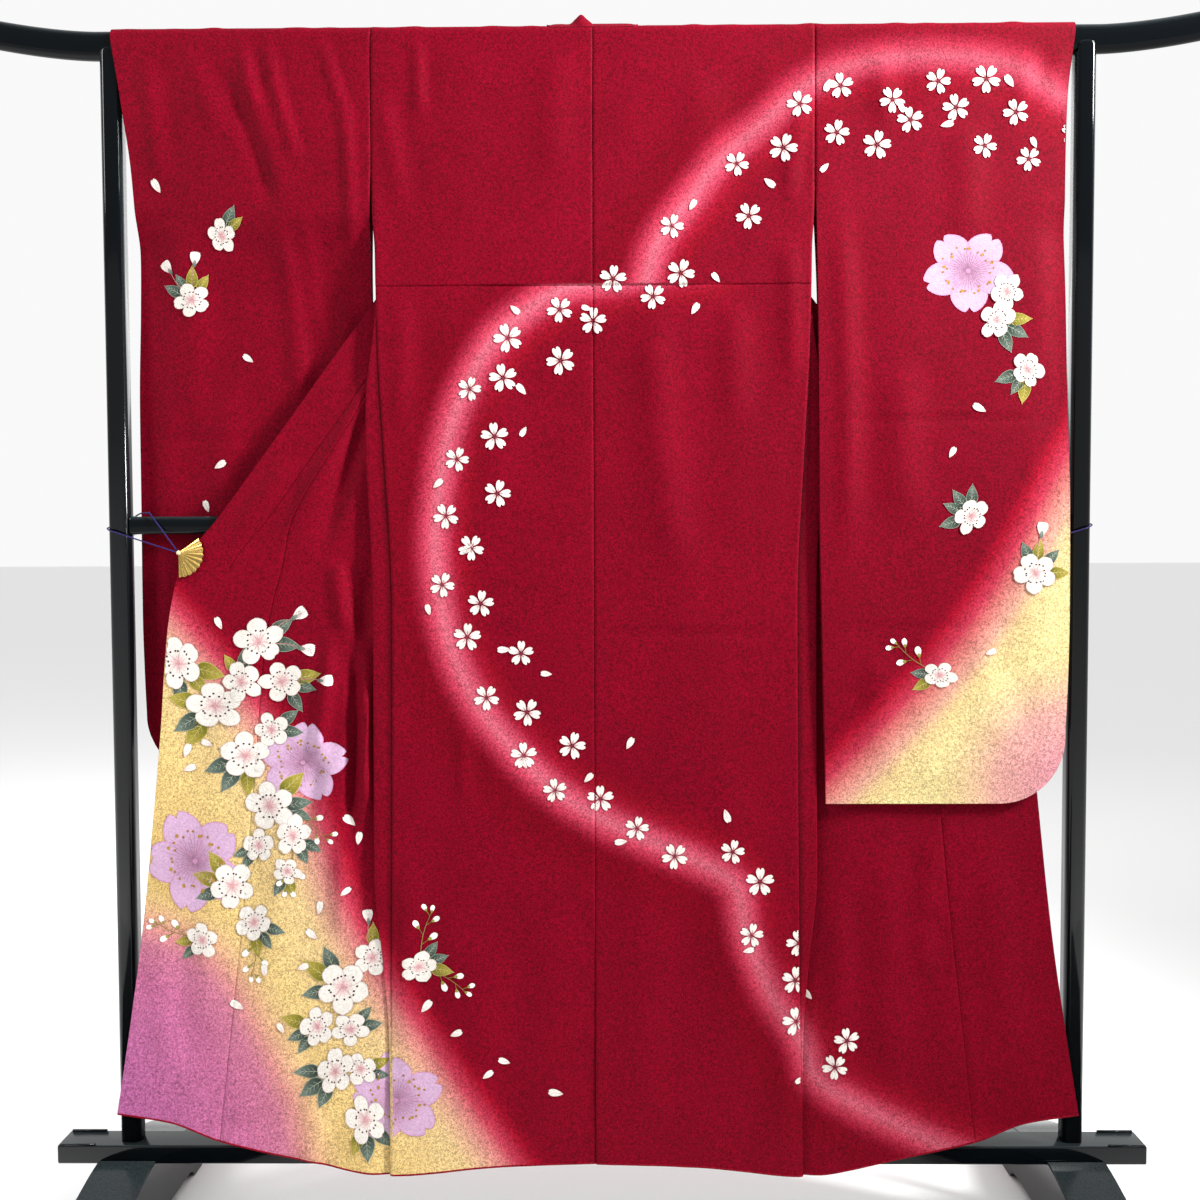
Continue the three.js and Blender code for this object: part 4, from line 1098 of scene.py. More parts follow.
def collar():
    grid = np.concatenate([collar_half(-1)[::-1], collar_half(1)[1:]])
    return sewn("collar_band", [sheet_of(grid, -1, flap_dye, 1.5)], ["collar"])


collar_band = collar()


# ---- sleeves ----
# Each long sleeve is one length of silk folded at the shoulder. Its bottom and its outer edge below the
# wrist opening are sewn, with a rounded outer corner, and its inner edge hangs open.

WRIST_OPENING = 230
SLEEVE_SEAM_END = 1440
SLEEVE_CORNER = 90
# Level by level: where a sleeve's inner and outer edges are, and how deep each of its layers lies there.
SLEEVES = {
    -1: table("inner outer back_inner back_outer front_inner front_outer", [
        (HANG_Z, -309.8, -668, -12.8, -13, 12.8, 13), (1662, -309.8, -666, -12.5, -14.6, 12.2, 14.6),
        (1589, -309.8, -655, -15, -14.8, 12.4, 16), (1500, -310, -645, -18.5, -9, 10, 18),
        (1436, -312, -642, -20, -4, 7, 19), (1381, -313, -640, -8, 0, 5, 20),
        (1311, -315, -642, 2, 4, 14, 21), (1178, -316, -647, 8, 8, 21, 22),
        (1020, -317, -649, 12.5, 12.5, 24, 24), (843, -318, -650, 13, 13, 24, 24),
        (645, -320, -647, 14, 14, 22, 22),
    ]),
    1: table("inner outer back_inner back_outer front_inner front_outer", [
        (HANG_Z, 299.5, 655, -12.8, -13, 12.8, 13), (1589, 299.5, 645, -15, -14, 12.4, 12),
        (1500, 299.5, 641, -18.5, -18, 10, 6), (1436, 301, 640, -21, -21, 5, -1),
        (1381, 302, 641, -23, -23, -5, -8), (1311, 303, 642, -26, -26, -15, -16),
        (1178, 304, 644, -31, -31, -22, -22), (1020, 305, 648, -35, -35, -27, -27),
        (843, 309, 649, -36, -36, -28, -28), (615, 315, 645, -35, -35, -29, -29),
    ]),
}
SLEEVE_BOTTOM = {-1: 645, 1: 615}
SLEEVE_FOLDS = {
    -1: [
        (-621, 1650, -603, 1470, 12, 1.8, 3), (-494, 1684, -464, 1560, 7, 2.2, 2),
        (-455, 1684, -404, 1490, 7, 2.3, -5), (-386, 1686, -350, 1570, 6, 2.2, 4),
        (-350, 1610, -338, 1370, 8, 2.6, 5), (-520, 1640, -446, 1430, 12, -2.4, 6),
        (-438, 1430, -418, 1160, 14, 2.4, 6), (-560, 1660, -520, 1540, 11, 1.4, 0),
        (-404, 1440, -384, 1250, 13, 1.7, -5), (-642, 1125, -446, 1126, 5, -0.7, 0),
        (-627, 1430, -576, 1430, 5, -0.6, 0), (-560, 1380, -575, 1130, 20, 1.5, 5),
        (-350, 1330, -356, 1150, 15, 1.4, 0), (-520, 1240, -540, 900, 26, 1.6, 6),
        (-610, 1220, -618, 800, 18, 1.4, -5),
    ],
    1: [
        (306, 1144, 646, 1146, 5, -0.6, 0), (308, 860, 648, 861, 5, -0.6, 0),
        (332, 1450, 341, 950, 16, 1.9, 6), (616, 1460, 618, 1160, 17, 1.6, -4),
        (521, 880, 530, 690, 22, 1.8, 6), (626, 730, 622, 640, 15, 1.5, 0),
        (555, 800, 562, 690, 18, 1.3, 0), (420, 1240, 432, 980, 26, 1.7, -7),
        (500, 1560, 506, 1380, 24, 1.4, 5), (388, 1660, 396, 1540, 16, 1.4, 0),
        (590, 1655, 580, 1560, 16, 1.4, 0), (380, 840, 388, 660, 22, 1.6, 5),
        (640, 1650, 600, 1560, 13, 1.2, 2),
    ],
}


def sleeve_depth(side, layer, x, height):
    """Depth of a sleeve's back or front, which meet where they are sewn; folds on the front are those
    of the other sleeve's back, mirrored."""
    form = SLEEVES[side]
    inner = form["inner"](height)
    outer = form["outer"](height)
    t = smooth((x - inner) / (outer - inner))
    depths = {
        name: mix(form[f"{name}_inner"](height), form[f"{name}_outer"](height), t)
        for name in ("back", "front")
    }
    from_outer = np.abs(outer - x)
    low = height - SLEEVE_BOTTOM[side]
    sewn_side = smooth((HANG_Z - WRIST_OPENING - height) / 60) * smooth(1 - from_outer / 60)
    sewn_up = np.maximum(sewn_side, smooth(1 - low / 60))
    own = -1 if layer == "back" else 1
    middle = (depths["back"] + depths["front"]) / 2
    depth = mix(depths[layer], middle + own * (CLOTH / 2 + 0.05), sewn_up)
    phase = {(-1, "back"): 0.4, (1, "back"): 3.3, (-1, "front"): 5.1, (1, "front"): 1.9}[side, layer]
    lines = SLEEVE_FOLDS[side]
    if layer == "front":
        lines = [(-a, b, -c, *rest) for a, b, c, *rest in SLEEVE_FOLDS[-side]]
    rise = hung(folds(x, height, lines) + sway(x, height, phase, 0.9), height)
    from_inner = np.abs(x - inner)
    seam = 1.7 * np.exp(-(from_inner / 1.2)**2) * smooth((height - SLEEVE_SEAM_END) / 20)
    free = (1 - 0.75 * sewn_up) * (0.25 + 0.75 * smooth(from_inner / 40))
    return depth + own * rise * free - own * seam


def sleeve_grid(side, layer):
    bottom = SLEEVE_BOTTOM[side]
    height, lap = row_heights(HANG_Z, bottom)
    height = height[:, None]
    inner = SLEEVES[side]["inner"](height)
    outer = SLEEVES[side]["outer"](height)
    x = mix(inner, outer, edged(56)[None])
    grid = over_bar(x, sleeve_depth(side, layer, x, height), height, lap[:, None])
    in_corner = np.clip(SLEEVE_CORNER - np.abs(outer - x), 0, None)
    corner = SLEEVE_CORNER - np.sqrt(np.clip(SLEEVE_CORNER**2 - in_corner**2, 0, None))
    grid[..., 2] += corner * ((HANG_Z - height) / (HANG_Z - bottom))**5
    return grid


def mirrored_dye(x, z):
    """The right sleeve's dye on the left one, raised by as much as its bottom lies higher."""
    return sleeve_dye(-x, z + SLEEVE_BOTTOM[1] - SLEEVE_BOTTOM[-1])


def sleeve(name, side):
    back_shades = sleeve_dye if side > 0 else plain_dye
    front_shades = sleeve_dye if side > 0 else mirrored_dye
    sheets = [
        sheet_of(sleeve_grid(side, "back"), -side, back_shades),
        sheet_of(sleeve_grid(side, "front"), side, front_shades),
    ]
    return sewn(f"sleeve_{name}", sheets, [f"sleeve_{name}_back", f"sleeve_{name}_front"])


sleeves = {name: sleeve(name, side) for name, side in SIDES.items()}


# ---- dyed flowers ----
# The flowers are painted on the silk with dye and paste: small cherry blossoms along the pale bands,
# sprays of white blossom with leaves and buds, and large orchid ones. They have no thickness to the
# hand, so they are thin skins that lie on the cloth and bend with it.

PAINT_LIFT = 0.4
LAYER_LIFT = 0.09
LOWEST_ON_SLEEVE = 650
chance = np.random.default_rng(11)


def turned(points, angle, place=(0, 0)):
    turn = np.array([(math.cos(angle), math.sin(angle)), (-math.sin(angle), math.cos(angle))])
    return np.asarray(points) @ turn + place


def leaf_form(length, width, notch, point, widening, around, rings):
    """A petal or leaf that points along +X from its base: rings of points out to its outline, and how
    far out each point's ring is. It widens to its tip, or with a negative widening to its base."""
    angle = np.arange(around) * 2 * math.pi / around
    along = (1 + np.cos(angle)) / 2
    from_tip = np.minimum(angle, 2 * math.pi - angle)
    reach = length * (along - notch * np.exp(-(from_tip / 0.24)**2))
    across = width / 2 * np.sin(angle) * (1 + widening * (along - 0.5) * 1.2) * np.abs(np.sin(angle))**point
    outline = np.stack([reach, across], axis=1)
    middle = np.array((length * 0.55, 0))
    points = np.concatenate([[middle], *[middle + (outline - middle) * r for r in rings]])
    faces = []
    for i in range(around):
        j = (i + 1) % around
        faces.append((0, 1 + i, 1 + j, 1 + j))
        for ring in range(len(rings) - 1):
            a = 1 + ring * around
            faces.append((a + i, a + around + i, a + around + j, a + j))
    ring_of = np.concatenate([[0], np.repeat(rings, around)])
    return points, np.array(faces), ring_of


def shade(points, length, inner, outer, edge, ring_of, reach):
    """Dye that passes from a petal's base to its tip, with a fine line round its edge."""
    t = smooth(points[:, 0] / (length * reach))[:, None]
    colour = mix(np.array(linear(inner)), np.array(linear(outer)), t)
    return mix(colour, np.array(linear(edge)), (ring_of > 0.95)[:, None])


def petal(length, width, inner, outer, edge, angle, base=0.0, notch=0.0, point=0.0, layer=0, reach=0.6,
          widening=0.62, around=22):
    """A painted petal; one with many points round it has more rings too, to follow the cloth's folds."""
    rings = (0.35, 0.68, 0.9, 1.0) if around < 30 else (0.16, 0.33, 0.5, 0.66, 0.8, 0.91, 1.0)
    points, faces, ring_of = leaf_form(length, width, notch, point, widening, around, rings)
    colour = shade(points, length, inner, outer, edge, ring_of, reach)
    return turned(points + (base, 0), angle), faces, colour, layer


def stroke(start, end, width, colour, layer, bow=0.0, count=5, end_width=None):
    """A brushed line, straight or bowed to its left."""
    start = np.array(start, float)
    end = np.array(end, float)
    t = np.linspace(0, 1, count)[:, None]
    run = end - start
    left = unit(np.array((-run[1], run[0])))
    middle = start + run * t + left * bow * 4 * t * (1 - t)
    half = mix(width, width if end_width is None else end_width, t) / 2
    points = np.concatenate([middle + left * half, middle - left * half])
    faces = [(i, i + count, i + count + 1, i + 1) for i in range(count - 1)]
    return points, np.array(faces), np.tile(linear(colour), (len(points), 1)), layer


def dots(places, radius, colour, layer):
    around = 7
    angle = np.arange(around) * 2 * math.pi / around
    ring = radius * np.stack([np.cos(angle), np.sin(angle)], axis=1)
    places = np.asarray(places)
    points = np.concatenate([np.concatenate([[place], place + ring]) for place in places])
    faces = []
    for n in range(len(places)):
        start = n * (around + 1)
        faces += [(start, start + 1 + i, start + 1 + (i + 1) % around, start + 1 + (i + 1) % around)
                  for i in range(around)]
    return points, np.array(faces), np.tile(linear(colour), (len(points), 1)), layer


def placed(patches, x, z, angle=0.0, rise=0):
    """Painted shapes moved to a place, turned, and raised by so many layers."""
    moved = []
    for points, faces, colour, layer in patches:
        moved.append((turned(points, angle, (x, z)), faces, colour, layer + rise))
    return moved


def small_blossom(size):
    """A little cherry blossom of five slim petals set apart, each with a notch at its tip."""
    made = []
    tip = size * 0.42
    for i in range(5):
        angle = i * math.tau / 5
        made.append(petal(size * 0.88, size * 0.55, "#D9A9A9", "#EFE9E1", "#A3606A", angle, size * 0.12, 0.25,
                          0.14, 1, 0.35))
        made.append(stroke((0, 0), (tip * math.cos(angle), tip * math.sin(angle)), 0.8, "#8D4A55", 2, count=3,
                           end_width=0.4))
    made.append(dots([(0, 0)], size * 0.07, "#7A2A3C", 3))
    return made


def loose_petal(size):
    made = [petal(size, size * 0.46, "#E6C6C2", "#EFE9E1", "#C09A98", 0, -size / 2, 0.12, 0.3, 1, 0.4)]
    made.append(stroke((-size * 0.3, 0), (size * 0.2, 0), 0.7, "#E9C9C2", 2, count=3, end_width=0.3))
    return made


def ring_of_places(count, near, far):
    angle = np.arange(count) * math.tau / count + chance.uniform(-0.12, 0.12, count)
    reach = chance.uniform(near, far, count)
    return np.stack([reach * np.cos(angle), reach * np.sin(angle)], axis=1)


def leaning(patches, lean, way):
    """A flower seen from one side: drawn in along one line."""
    drawn = []
    for points, faces, colour, layer in patches:
        points = turned(points, -way) * (1, lean)
        drawn.append((turned(points, way), faces, colour, layer))
    return drawn


def white_blossom(size):
    """A white blossom: five petals, narrow at the base, a rosy heart and a ring of dark rose dots."""
    made = []
    for i in range(5):
        angle = i * math.tau / 5 + chance.uniform(-0.08, 0.08)
        length = size * chance.uniform(0.9, 1.04)
        width = size * chance.uniform(0.64, 0.78)
        notch = chance.uniform(-0.07, 0.09)
        point = chance.uniform(0.05, 0.2)
        made.append(petal(length, width, "#DDACB0", "#E9E3DA", "#BFA8A2", angle, 0, notch, point, 1 + 0.4 * i,
                          0.38, 0.6))
    for place in ring_of_places(13, size * 0.3, size * 0.44):
        made.append(stroke((0, 0), place, 0.5, "#DFA3A6", 4, count=3, end_width=0.35))
    made.append(dots(ring_of_places(16, size * 0.4, size * 0.52), max(1.0, size * 0.04), "#4E2630", 5))
    return leaning(made, chance.uniform(0.74, 1.0), chance.uniform(0, math.pi))


def orchid_blossom(size):
    """A large pale orchid blossom with broad notched petals, fine rays and gilt-brown stamens."""
    made = []
    for i in range(5):
        angle = i * math.tau / 5
        made.append(petal(size, size * 0.77, "#B487A5", "#D0ACCB", "#C98FB4", angle, 0, 0.16, 0.5, 0.2 * i,
                          0.7, 0.26, 36))
    for lean in np.linspace(0, math.tau, 38)[:-1]:
        along = np.array((math.cos(lean), math.sin(lean)))
        tip = size * chance.uniform(0.34, 0.56)
        made.append(stroke(size * 0.05 * along, tip * along, 0.7, "#A0748F", 1.4, count=3, end_width=0.35))
    made.append(dots(ring_of_places(22, size * 0.4, size * 0.6), size * 0.026, "#A37A3C", 1.8))
    made.append(dots(ring_of_places(9, size * 0.44, size * 0.56), size * 0.038, "#B08A48", 1.8))
    return leaning(made, 0.9, chance.uniform(0, math.pi))


def leaf(size, warm):
    """A pointed leaf with a pale midrib; some are grey-green, others olive turning gold."""
    inner, outer, edge = ("#6E6A22", "#A89A44", "#CDBE74") if warm else ("#333F36", "#66756A", "#A4AE9C")
    bend = chance.uniform(-0.08, 0.08) * size
    made = [petal(size, size * 0.58, inner, outer, edge, 0, 0, -0.12, 0.16, 0, 1.0, -0.6)]
    made.append(stroke((0, 0), (size * 0.93, 0), 0.8, edge, 0.5, bend * 0.3, 4, 0.3))
    for i in range(4):
        for way in (-1, 1):
            start = size * (0.22 + 0.17 * i)
            tip = (start + size * 0.13, way * size * (0.15 - 0.022 * i))
            made.append(stroke((start, 0), tip, 0.45, edge, 0.5, count=3))
    return made


def bud(size):
    flower = petal(size, size * 0.56, "#EFC3C3", "#FFF9F2", "#EADBD0", 0, 0, 0, 0.3, 1, 0.5)
    cup = petal(size * 0.42, size * 0.3, "#7A7A34", "#98964A", "#98964A", 0, -size * 0.08, 0, 0.2, 2, 0.5)
    return [flower, cup]


def bud_sprig(length, count, bow):
    """A thin stem with small buds to either side and one at its end."""
    made = [stroke((0, 0), (length, 0), 1.3, "#8A7A44", 0.3, bow, 9, 0.7)]
    for i in range(count):
        t = 0.3 + 0.62 * i / max(1, count - 1)
        foot = np.array((length * t, bow * 4 * t * (1 - t)))
        way = 1 if i % 2 else -1
        angle = way * chance.uniform(0.55, 0.95)
        reach = length * (0.2 - 0.08 * t)
        tip = foot + reach * np.array((math.cos(angle), math.sin(angle)))
        made.append(stroke(foot, tip, 0.8, "#85783A", 0.3, count=3))
        made += placed(bud(17 - 6 * t), *tip, angle)
    return made + placed(bud(11), length, 0)


def opening_bud(length):
    """A bud about to open, on a thin stem of its own, with a grey-green cup."""
    made = [stroke((0, 0), (length * 0.66, 0), 1.1, "#C08A80", 0.3, length * 0.05, 5, 0.8)]
    for angle in (-0.24, 0.24, 0.0):
        one = petal(length * 0.42, length * 0.16, "#EDB9BF", "#F8F0E8", "#F0D0CC", angle, 0, 0.08, 0.3, 1.5)
        made += placed([one], length * 0.62, 0)
    cup = petal(length * 0.2, length * 0.1, "#5C6A60", "#8A968A", "#8A968A", 0, layer=3, reach=1.0,
                widening=-0.3)
    return made + placed([cup], length * 0.58, 0)


def grown(patches, reach, angle, rise):
    """Something that grows out from under a blossom, at so many millimetres from its middle."""
    return placed(patches, reach * math.cos(angle), reach * math.sin(angle), angle, rise)


def spray(size, leaves, sprigs, start, opening):
    """A white blossom with leaves, sprigs of buds and buds about to open, which point one way."""
    start = math.radians(start)
    made = []
    for i in range(leaves):
        angle = start + (i - (leaves - 1) / 2) * 0.62 + chance.uniform(-0.12, 0.12)
        length = chance.uniform(0.85, 1.15) * max(25, size * 0.95)
        made += grown(leaf(length, chance.random() < 0.4), size * 0.58, angle, -2)
    for i in range(opening):
        made += grown(opening_bud(size * 1.2 + 14), size * 0.6, start + (0.5 - i) * 0.75, 0)
    for i in range(sprigs):
        angle = start + (0.9 if i % 2 else -0.75) + chance.uniform(-0.1, 0.1)
        sprig = bud_sprig(size * 1.2 + chance.uniform(26, 34), 4, size * 0.16)
        made += grown(sprig, size * 0.4, angle, -1.5)
    return made + placed(white_blossom(size), 0, 0, chance.uniform(0, math.tau), 2)


class Cloth:
    """A part of the garment to paint on: how far it reaches, its depth and the way that it faces."""

    def __init__(self, limits, depth, facing, row=row_of):
        self.limits = limits
        self.depth = depth
        self.facing = facing
        self.row = row
        self.patches = []

    def paint(self, patches, x, z, turn, rise=0):
        self.patches += placed(patches, x, z, math.radians(turn), rise)

    def skin(self, name):
        """The painted flowers of this part, as one object, cut off at its seams and edges."""
        points, faces, shades = [], [], []
        start = 0
        for flat, quads, colour, layer in self.patches:
            x, z = flat.T
            height = self.row(x, z)
            low, high = self.limits(height)
            kept = ((x > low) & (x < high) & (height > HEM_Z + 3))[quads].mean(axis=1) > 0.5
            if not kept.any():
                continue
            x = np.clip(x, low, high)
            lift = CLOTH / 2 + PAINT_LIFT + LAYER_LIFT * (layer + 4)
            y = self.depth(x, height) + self.facing * lift
            points.append(np.stack([x, y, z], axis=1))
            faces += [tuple(dict.fromkeys(quad)) for quad in (quads[kept] + start).tolist()]
            shades.append(colour)
            start += len(flat)
        made = new_piece(name, np.vstack(points), faces, [painted_crepe], "silk")
        colour_points(made.data, np.vstack(shades))
        if self.facing < 0:
            made.data.flip_normals()
        return made


def back_half(side):
    def limits(height):
        reach = BACK["side"](height) - 1.5
        return (CENTRE_X + 0.4, CENTRE_X + reach) if side > 0 else (CENTRE_X - reach, CENTRE_X - 0.4)

    def depth(x, height):
        return back_depth(side, np.abs(x - CENTRE_X), height)

    return Cloth(limits, depth, -1)


def drawn_front(side):
    def limits(height):
        near = FRONT["turn"](height) + 6
        far = FRONT["edge"](height) - 1.5
        return (CENTRE_X + near, CENTRE_X + far) if side > 0 else (CENTRE_X - far, CENTRE_X - near)

    def depth(x, height):
        return outer_depth(side, np.abs(x - CENTRE_X), height)

    return Cloth(limits, depth, -1)


def sleeve_layer(side, layer):
    def limits(height):
        ends = SLEEVES[side]["inner"](height), SLEEVES[side]["outer"](height)
        return np.minimum(*ends) + 1.5, np.maximum(*ends) - 1.5

    def depth(x, height):
        return sleeve_depth(side, layer, x, height)

    return Cloth(limits, depth, -1 if layer == "back" else 1, lambda x, z: np.array(z, float))


cloths = {
    "back_left": back_half(-1),
    "back_right": back_half(1),
    "front_left": drawn_front(-1),
    "front_right": drawn_front(1),
    "sleeve_left_back": sleeve_layer(-1, "back"),
    "sleeve_left_front": sleeve_layer(-1, "front"),
    "sleeve_right_back": sleeve_layer(1, "back"),
    "sleeve_right_front": sleeve_layer(1, "front"),
}


def cloths_at(x, z, size):
    """The parts of the garment that show at a place, seen from behind; two where it crosses a seam."""
    found = []
    out = x - CENTRE_X
    side = BACK["side"](z)
    if abs(out) < side + size * 0.5:
        if out < size:
            found.append("back_left")
        if out > -size:
            found.append("back_right")
    if out > side - size and z > SLEEVE_SEAM_END:
        found.append("sleeve_right_back")
    elif out > side + size * 0.4:
        found.append("sleeve_right_back" if z > LOWEST_ON_SLEEVE else "front_right")
    return found


def along_band(line, step, first, last, offsets, make):
    """Flowers or petals at even steps along a band, at one distance or another inside it."""
    lengths = np.append(0, np.cumsum(np.linalg.norm(np.diff(line, axis=0), axis=1)))
    stations = np.arange(first, min(last, lengths[-1]), step)
    for number, station in enumerate(stations):
        station += chance.uniform(-0.18, 0.18) * step
        here = np.array([np.interp(station, lengths, line[:, i]) for i in range(2)])
        ahead = np.array([np.interp(station + 6, lengths, line[:, i]) for i in range(2)])
        run = unit(ahead - here)
        away = offsets[number % len(offsets)] + chance.uniform(-7, 7)
        x, z = here + np.array((-run[1], run[0])) * away
        patches, size = make()
        turn = chance.uniform(0, 360)
        for name in cloths_at(x, z, size):
            cloths[name].paint(patches, x, z, turn)


def some_small_blossom():
    size = chance.uniform(17.5, 21.5)
    return small_blossom(size), size


def some_petal():
    size = chance.uniform(16, 21)
    return loose_petal(size), size


# Step, first and last place along the band, and distances inside it, all in millimetres.
along_band(HIGH_BAND, 37, 62, 505, (34, 92, 52, 118, 26, 74), some_small_blossom)
along_band(HIGH_BAND, 58, 500, 900, (8, 50, 22, 74), some_small_blossom)
along_band(HIGH_BAND, 84, 100, 900, (70, 14, 96), some_petal)
along_band(LOW_BAND, 45, 130, 1000, (6, 58, 22, 84, 12, 46), some_small_blossom)
along_band(LOW_BAND, 64, 1010, 1300, (-6, 30, 4), some_small_blossom)
along_band(LOW_BAND, 50, 1310, 1660, (34, 6, 62), some_small_blossom)
along_band(LOW_BAND, 88, 170, 1640, (40, -16, 70, 96, -8), some_petal)

# Large blossoms: place, size and turn.
LARGE = {
    "front_left": [(-414, 672, 66, 10), (-566, 534, 78, 40), (-286, 196, 72, 25)],
    "back_left": [(-286, 196, 72, 25)],
    "sleeve_right_back": [(508, 1347, 66, 55)],
    "sleeve_left_front": [(-520, 1352, 62, 20)],
}
# Sprays: place, size, leaves, sprigs of buds, the way these point, and buds about to open.
SPRAYS = {
    "front_left": [
        (-586, 812, 40, 3, 0, -50, 0), (-474, 842, 36, 2, 0, 12, 2), (-442, 786, 32, 3, 0, -20, 1),
        (-536, 752, 44, 3, 0, 205, 0), (-498, 786, 30, 2, 0, 100, 0), (-494, 682, 38, 3, 0, 240, 0),
        (-458, 718, 27, 2, 0, 15, 0), (-460, 612, 38, 3, 1, 10, 0), (-428, 570, 29, 2, 1, -50, 0),
        (-476, 556, 26, 2, 0, 220, 0), (-514, 500, 35, 3, 0, 165, 0), (-484, 448, 30, 3, 1, -50, 0),
        (-556, 424, 27, 2, 1, 205, 0), (-436, 520, 22, 2, 0, 260, 0), (-360, 356, 40, 3, 0, 150, 0),
        (-318, 398, 29, 2, 0, 75, 1), (-396, 300, 31, 3, 0, 200, 0), (-350, 296, 28, 2, 0, 30, 0),
        (-372, 236, 36, 3, 0, 215, 0), (-330, 168, 37, 3, 0, -80, 0), (-336, 240, 26, 2, 0, 0, 0),
    ],
    "back_left": [(-252, 386, 28, 3, 2, 20, 0)],
    "sleeve_left_back": [(-520, 1405, 24, 2, 0, 50, 0), (-566, 1318, 29, 4, 0, 105, 2)],
    "sleeve_right_back": [
        (560, 1318, 26, 0, 0, 0, 0), (546, 1280, 29, 3, 0, -35, 0), (588, 1212, 27, 3, 0, 230, 0),
        (512, 1012, 27, 4, 0, 140, 0), (600, 934, 31, 4, 0, 60, 1), (470, 794, 25, 2, 1, 190, 0),
    ],
    "sleeve_left_front": [
        (-566, 1306, 25, 3, 0, 200, 0), (-480, 1010, 26, 3, 0, 60, 0), (-598, 930, 29, 4, 1, 120, 0),
        (-452, 800, 24, 2, 1, 0, 0),
    ],
    "sleeve_right_front": [(530, 1380, 24, 2, 0, 50, 0), (575, 1296, 27, 3, 1, 60, 0)],
}
# Loose petals: place and turn.
PETALS = {
    "sleeve_left_back": [(-610, 1474, 120), (-490, 1238, 145), (-532, 1090, 30), (-554, 1032, 110)],
    "sleeve_right_back": [(522, 1160, 150), (540, 826, 20), (486, 1100, 60)],
    "front_left": [(-530, 868, 115), (-350, 590, 140), (-336, 566, 80), (-478, 462, 60), (-510, 330, 150),
                   (-448, 298, 120), (-416, 384, 20), (-572, 665, 20), (-548, 700, 160),
                   (-392, 468, 80), (-470, 380, 95), (-404, 430, 140), (-354, 492, 35), (-576, 690, 70)],
    "back_left": [(-242, 330, 50), (-134, 252, 160), (-156, 234, 35), (-62, 208, 170), (-200, 292, 25)],
    "back_right": [(44, 700, 60)],
}
for name, rows in LARGE.items():
    for x, z, size, turn in rows:
        cloths[name].paint(orchid_blossom(size), x, z, turn, -3)
for name, rows in SPRAYS.items():
    for number, (x, z, size, leaves, sprigs, start, opening) in enumerate(rows):
        cloths[name].paint(spray(size, leaves, sprigs, start, opening), x, z, 0, 0.6 * (number % 5))
for name, rows in PETALS.items():
    for x, z, turn in rows:
        cloths[name].paint(loose_petal(chance.uniform(17, 23)), x, z, turn)

skins = {name: cloth.skin(f"flowers_{name}") for name, cloth in cloths.items() if cloth.patches}


# ---- clips ----
# A gilt brass clip holds the corner of each front: a spring jaw round the cloth's edge, a small pleated
# fan over it, and a pearl-gold bead to which the cord is tied.

FAN_RADIUS = 35
FAN_FOLDS = 9
FAN_SPREAD = math.radians(126)
FAN_TILT = math.radians(27)
FAN_DEPTH = 0.9
FAN_WALL = 0.7
SCALLOP = 0.9
RIB = 0.25
BEAD_RADIUS = 3.3


def gilt_brass():
    """Gilt brass, stamped and polished, with a little tarnish in clouds and a faint unevenness."""
    made, tree, shader = new_material("gilt_brass", "#E2BC62", Metallic=1.0, Roughness=0.26)
    place = add_node(tree, "ShaderNodeTexCoord").outputs["Object"]
    cloud = add_node(tree, "ShaderNodeTexNoise", {"Vector": place, "Scale": scale_for(3.8), "Detail": 3})
    colour = add_node(tree, "ShaderNodeMix", {"Factor": cloud.outputs["Fac"]}, data_type="RGBA")
    colour.inputs["A"].default_value = (*linear("#B98F3A"), 1)
    colour.inputs["B"].default_value = (*linear("#F0D283"), 1)
    tree.links.new(colour.outputs["Result"], shader.inputs["Base Color"])
    fine = add_node(tree, "ShaderNodeTexNoise", {"Vector": place, "Scale": scale_for(1.1), "Detail": 2})
    bump = add_node(tree, "ShaderNodeBump", {
        "Height": fine.outputs["Fac"], "Strength": 0.25, "Distance": 0.2 * MM,
    })
    tree.links.new(bump.outputs["Normal"], shader.inputs["Normal"])
    return made


def pearl_bead():
    """A glass bead with a pearl-gold coat: pale, glossy and faintly clouded."""
    made, tree, shader = new_material("pearl_gold_bead", "#F0E2C2", Roughness=0.18, Coat_Weight=0.5)
    place = add_node(tree, "ShaderNodeTexCoord").outputs["Object"]
    cloud = add_node(tree, "ShaderNodeTexNoise", {"Vector": place, "Scale": scale_for(2), "Detail": 2})
    colour = add_node(tree, "ShaderNodeMix", {"Factor": cloud.outputs["Fac"]}, data_type="RGBA")
    colour.inputs["A"].default_value = (*linear("#CDB376"), 1)
    colour.inputs["B"].default_value = (*linear("#EADBB0"), 1)
    tree.links.new(colour.outputs["Result"], shader.inputs["Base Color"])
    return made


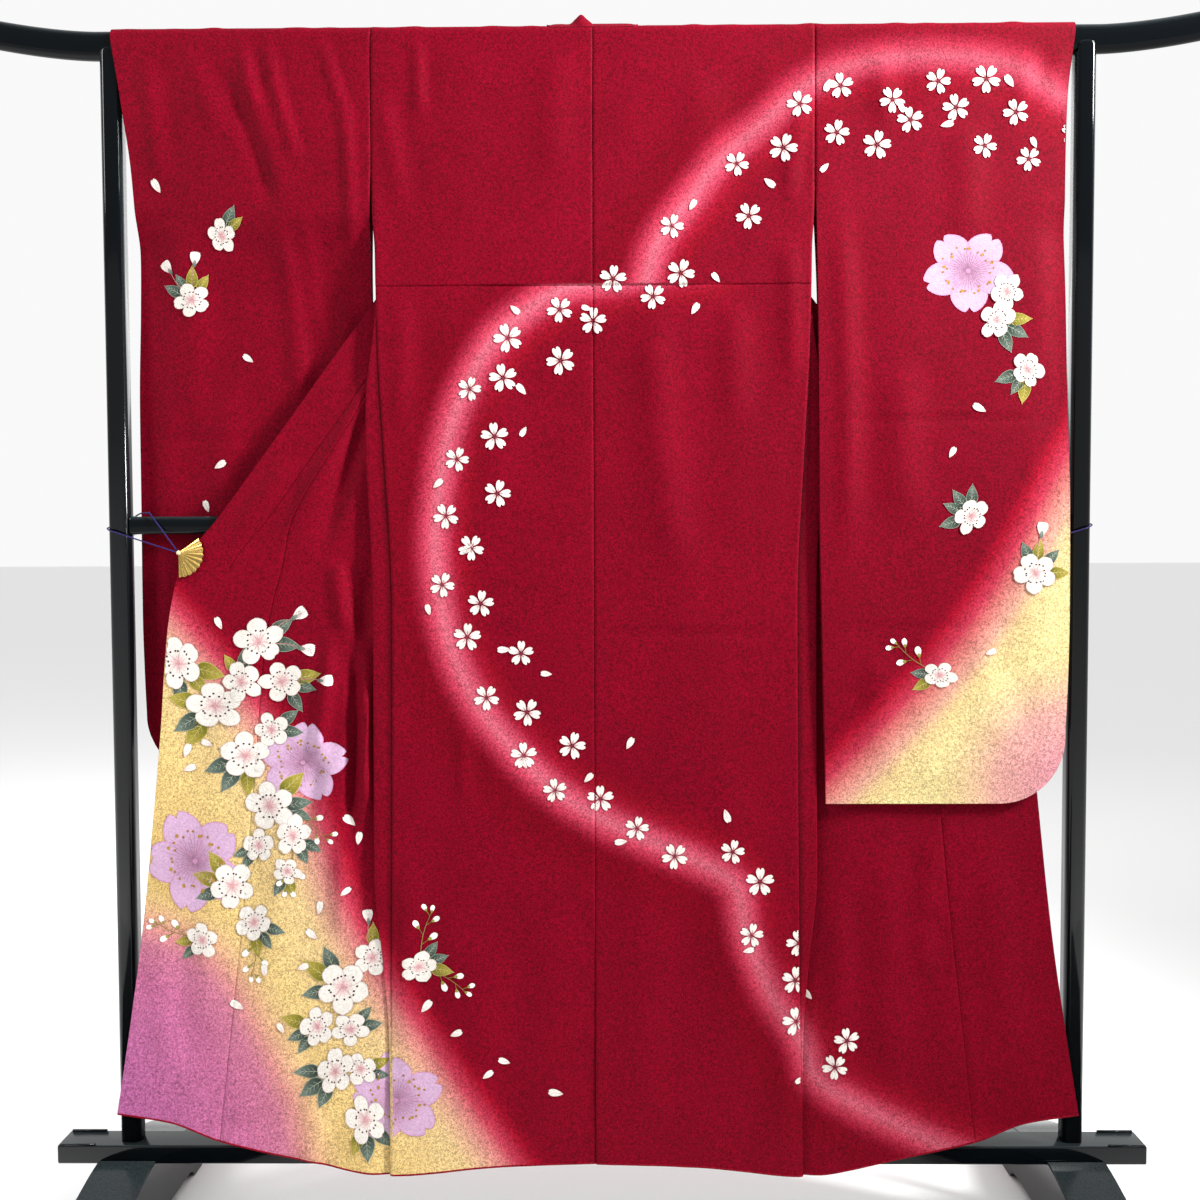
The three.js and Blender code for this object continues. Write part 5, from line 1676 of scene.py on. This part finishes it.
gilt = gilt_brass()
pearl = pearl_bead()


def fan(name, side):
    """The fan: pleats that widen from the bead, with a raised rib down each and a scalloped edge."""
    radii = np.array([BEAD_RADIUS + 0.4, 6, 9, 13, 18, 23, 28, 31.5, 33.6, FAN_RADIUS - 0.3])[:, None]
    share = np.linspace(0, 1, FAN_FOLDS * 12 + 1)[None]
    wave = np.cos(share * FAN_FOLDS * math.tau)
    angle = -FAN_TILT + FAN_SPREAD * (0.5 - share)
    reach = radii - SCALLOP * (radii > FAN_RADIUS - 3) * (1 - wave) / 2
    rib = RIB * np.exp(-((share * FAN_FOLDS * 2 % 1 - 0.5) / 0.12)**2)
    depth = BEAD_Y + FAN_DEPTH * wave * radii / FAN_RADIUS - rib * (radii > 8)
    x = CLIP_X[name] - side * reach * np.cos(angle)
    grid = np.stack(np.broadcast_arrays(x, depth, CLIP_Z + reach * np.sin(angle)), axis=-1)
    plate = sheet_of(grid, side, plain_dye, FAN_WALL)
    made = new_piece(f"pleated_fan_{name}", plate["points"], plate["faces"].tolist(), [gilt], "gilt")
    made.data.set_sharp_from_angle(angle=math.radians(50))
    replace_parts(faces_out(made), f"fan_{name}")


def bead(name):
    """A bead turned from its middle out, a little flattened, with a low ring round its waist."""
    round_side = [(math.sin(a), -math.cos(a) * 0.96) for a in np.linspace(0.2, math.pi - 0.2, 15)]
    profile = [(0, -1)] + round_side + [(0, 1)]
    rings = []
    for radius, height in profile:
        ring = radius * (1 + 0.05 * math.exp(-(height / 0.14)**2)) * BEAD_RADIUS * 0.95
        turn = np.arange(24) * math.tau / 24
        rings.append(np.stack([CLIP_X[name] + ring * np.cos(turn), BEAD_Y + height * BEAD_RADIUS + 0 * turn,
                               CLIP_Z + ring * np.sin(turn)], axis=1))
    made = new_piece(f"pearl_{name}", *loft(rings), [pearl], "pearl")
    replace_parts(faces_out(made), f"bead_{name}")


for name, side in SIDES.items():
    fan(name, side)
    bead(name)
    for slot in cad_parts[f"clip_{name}"].material_slots:
        slot.material = gilt
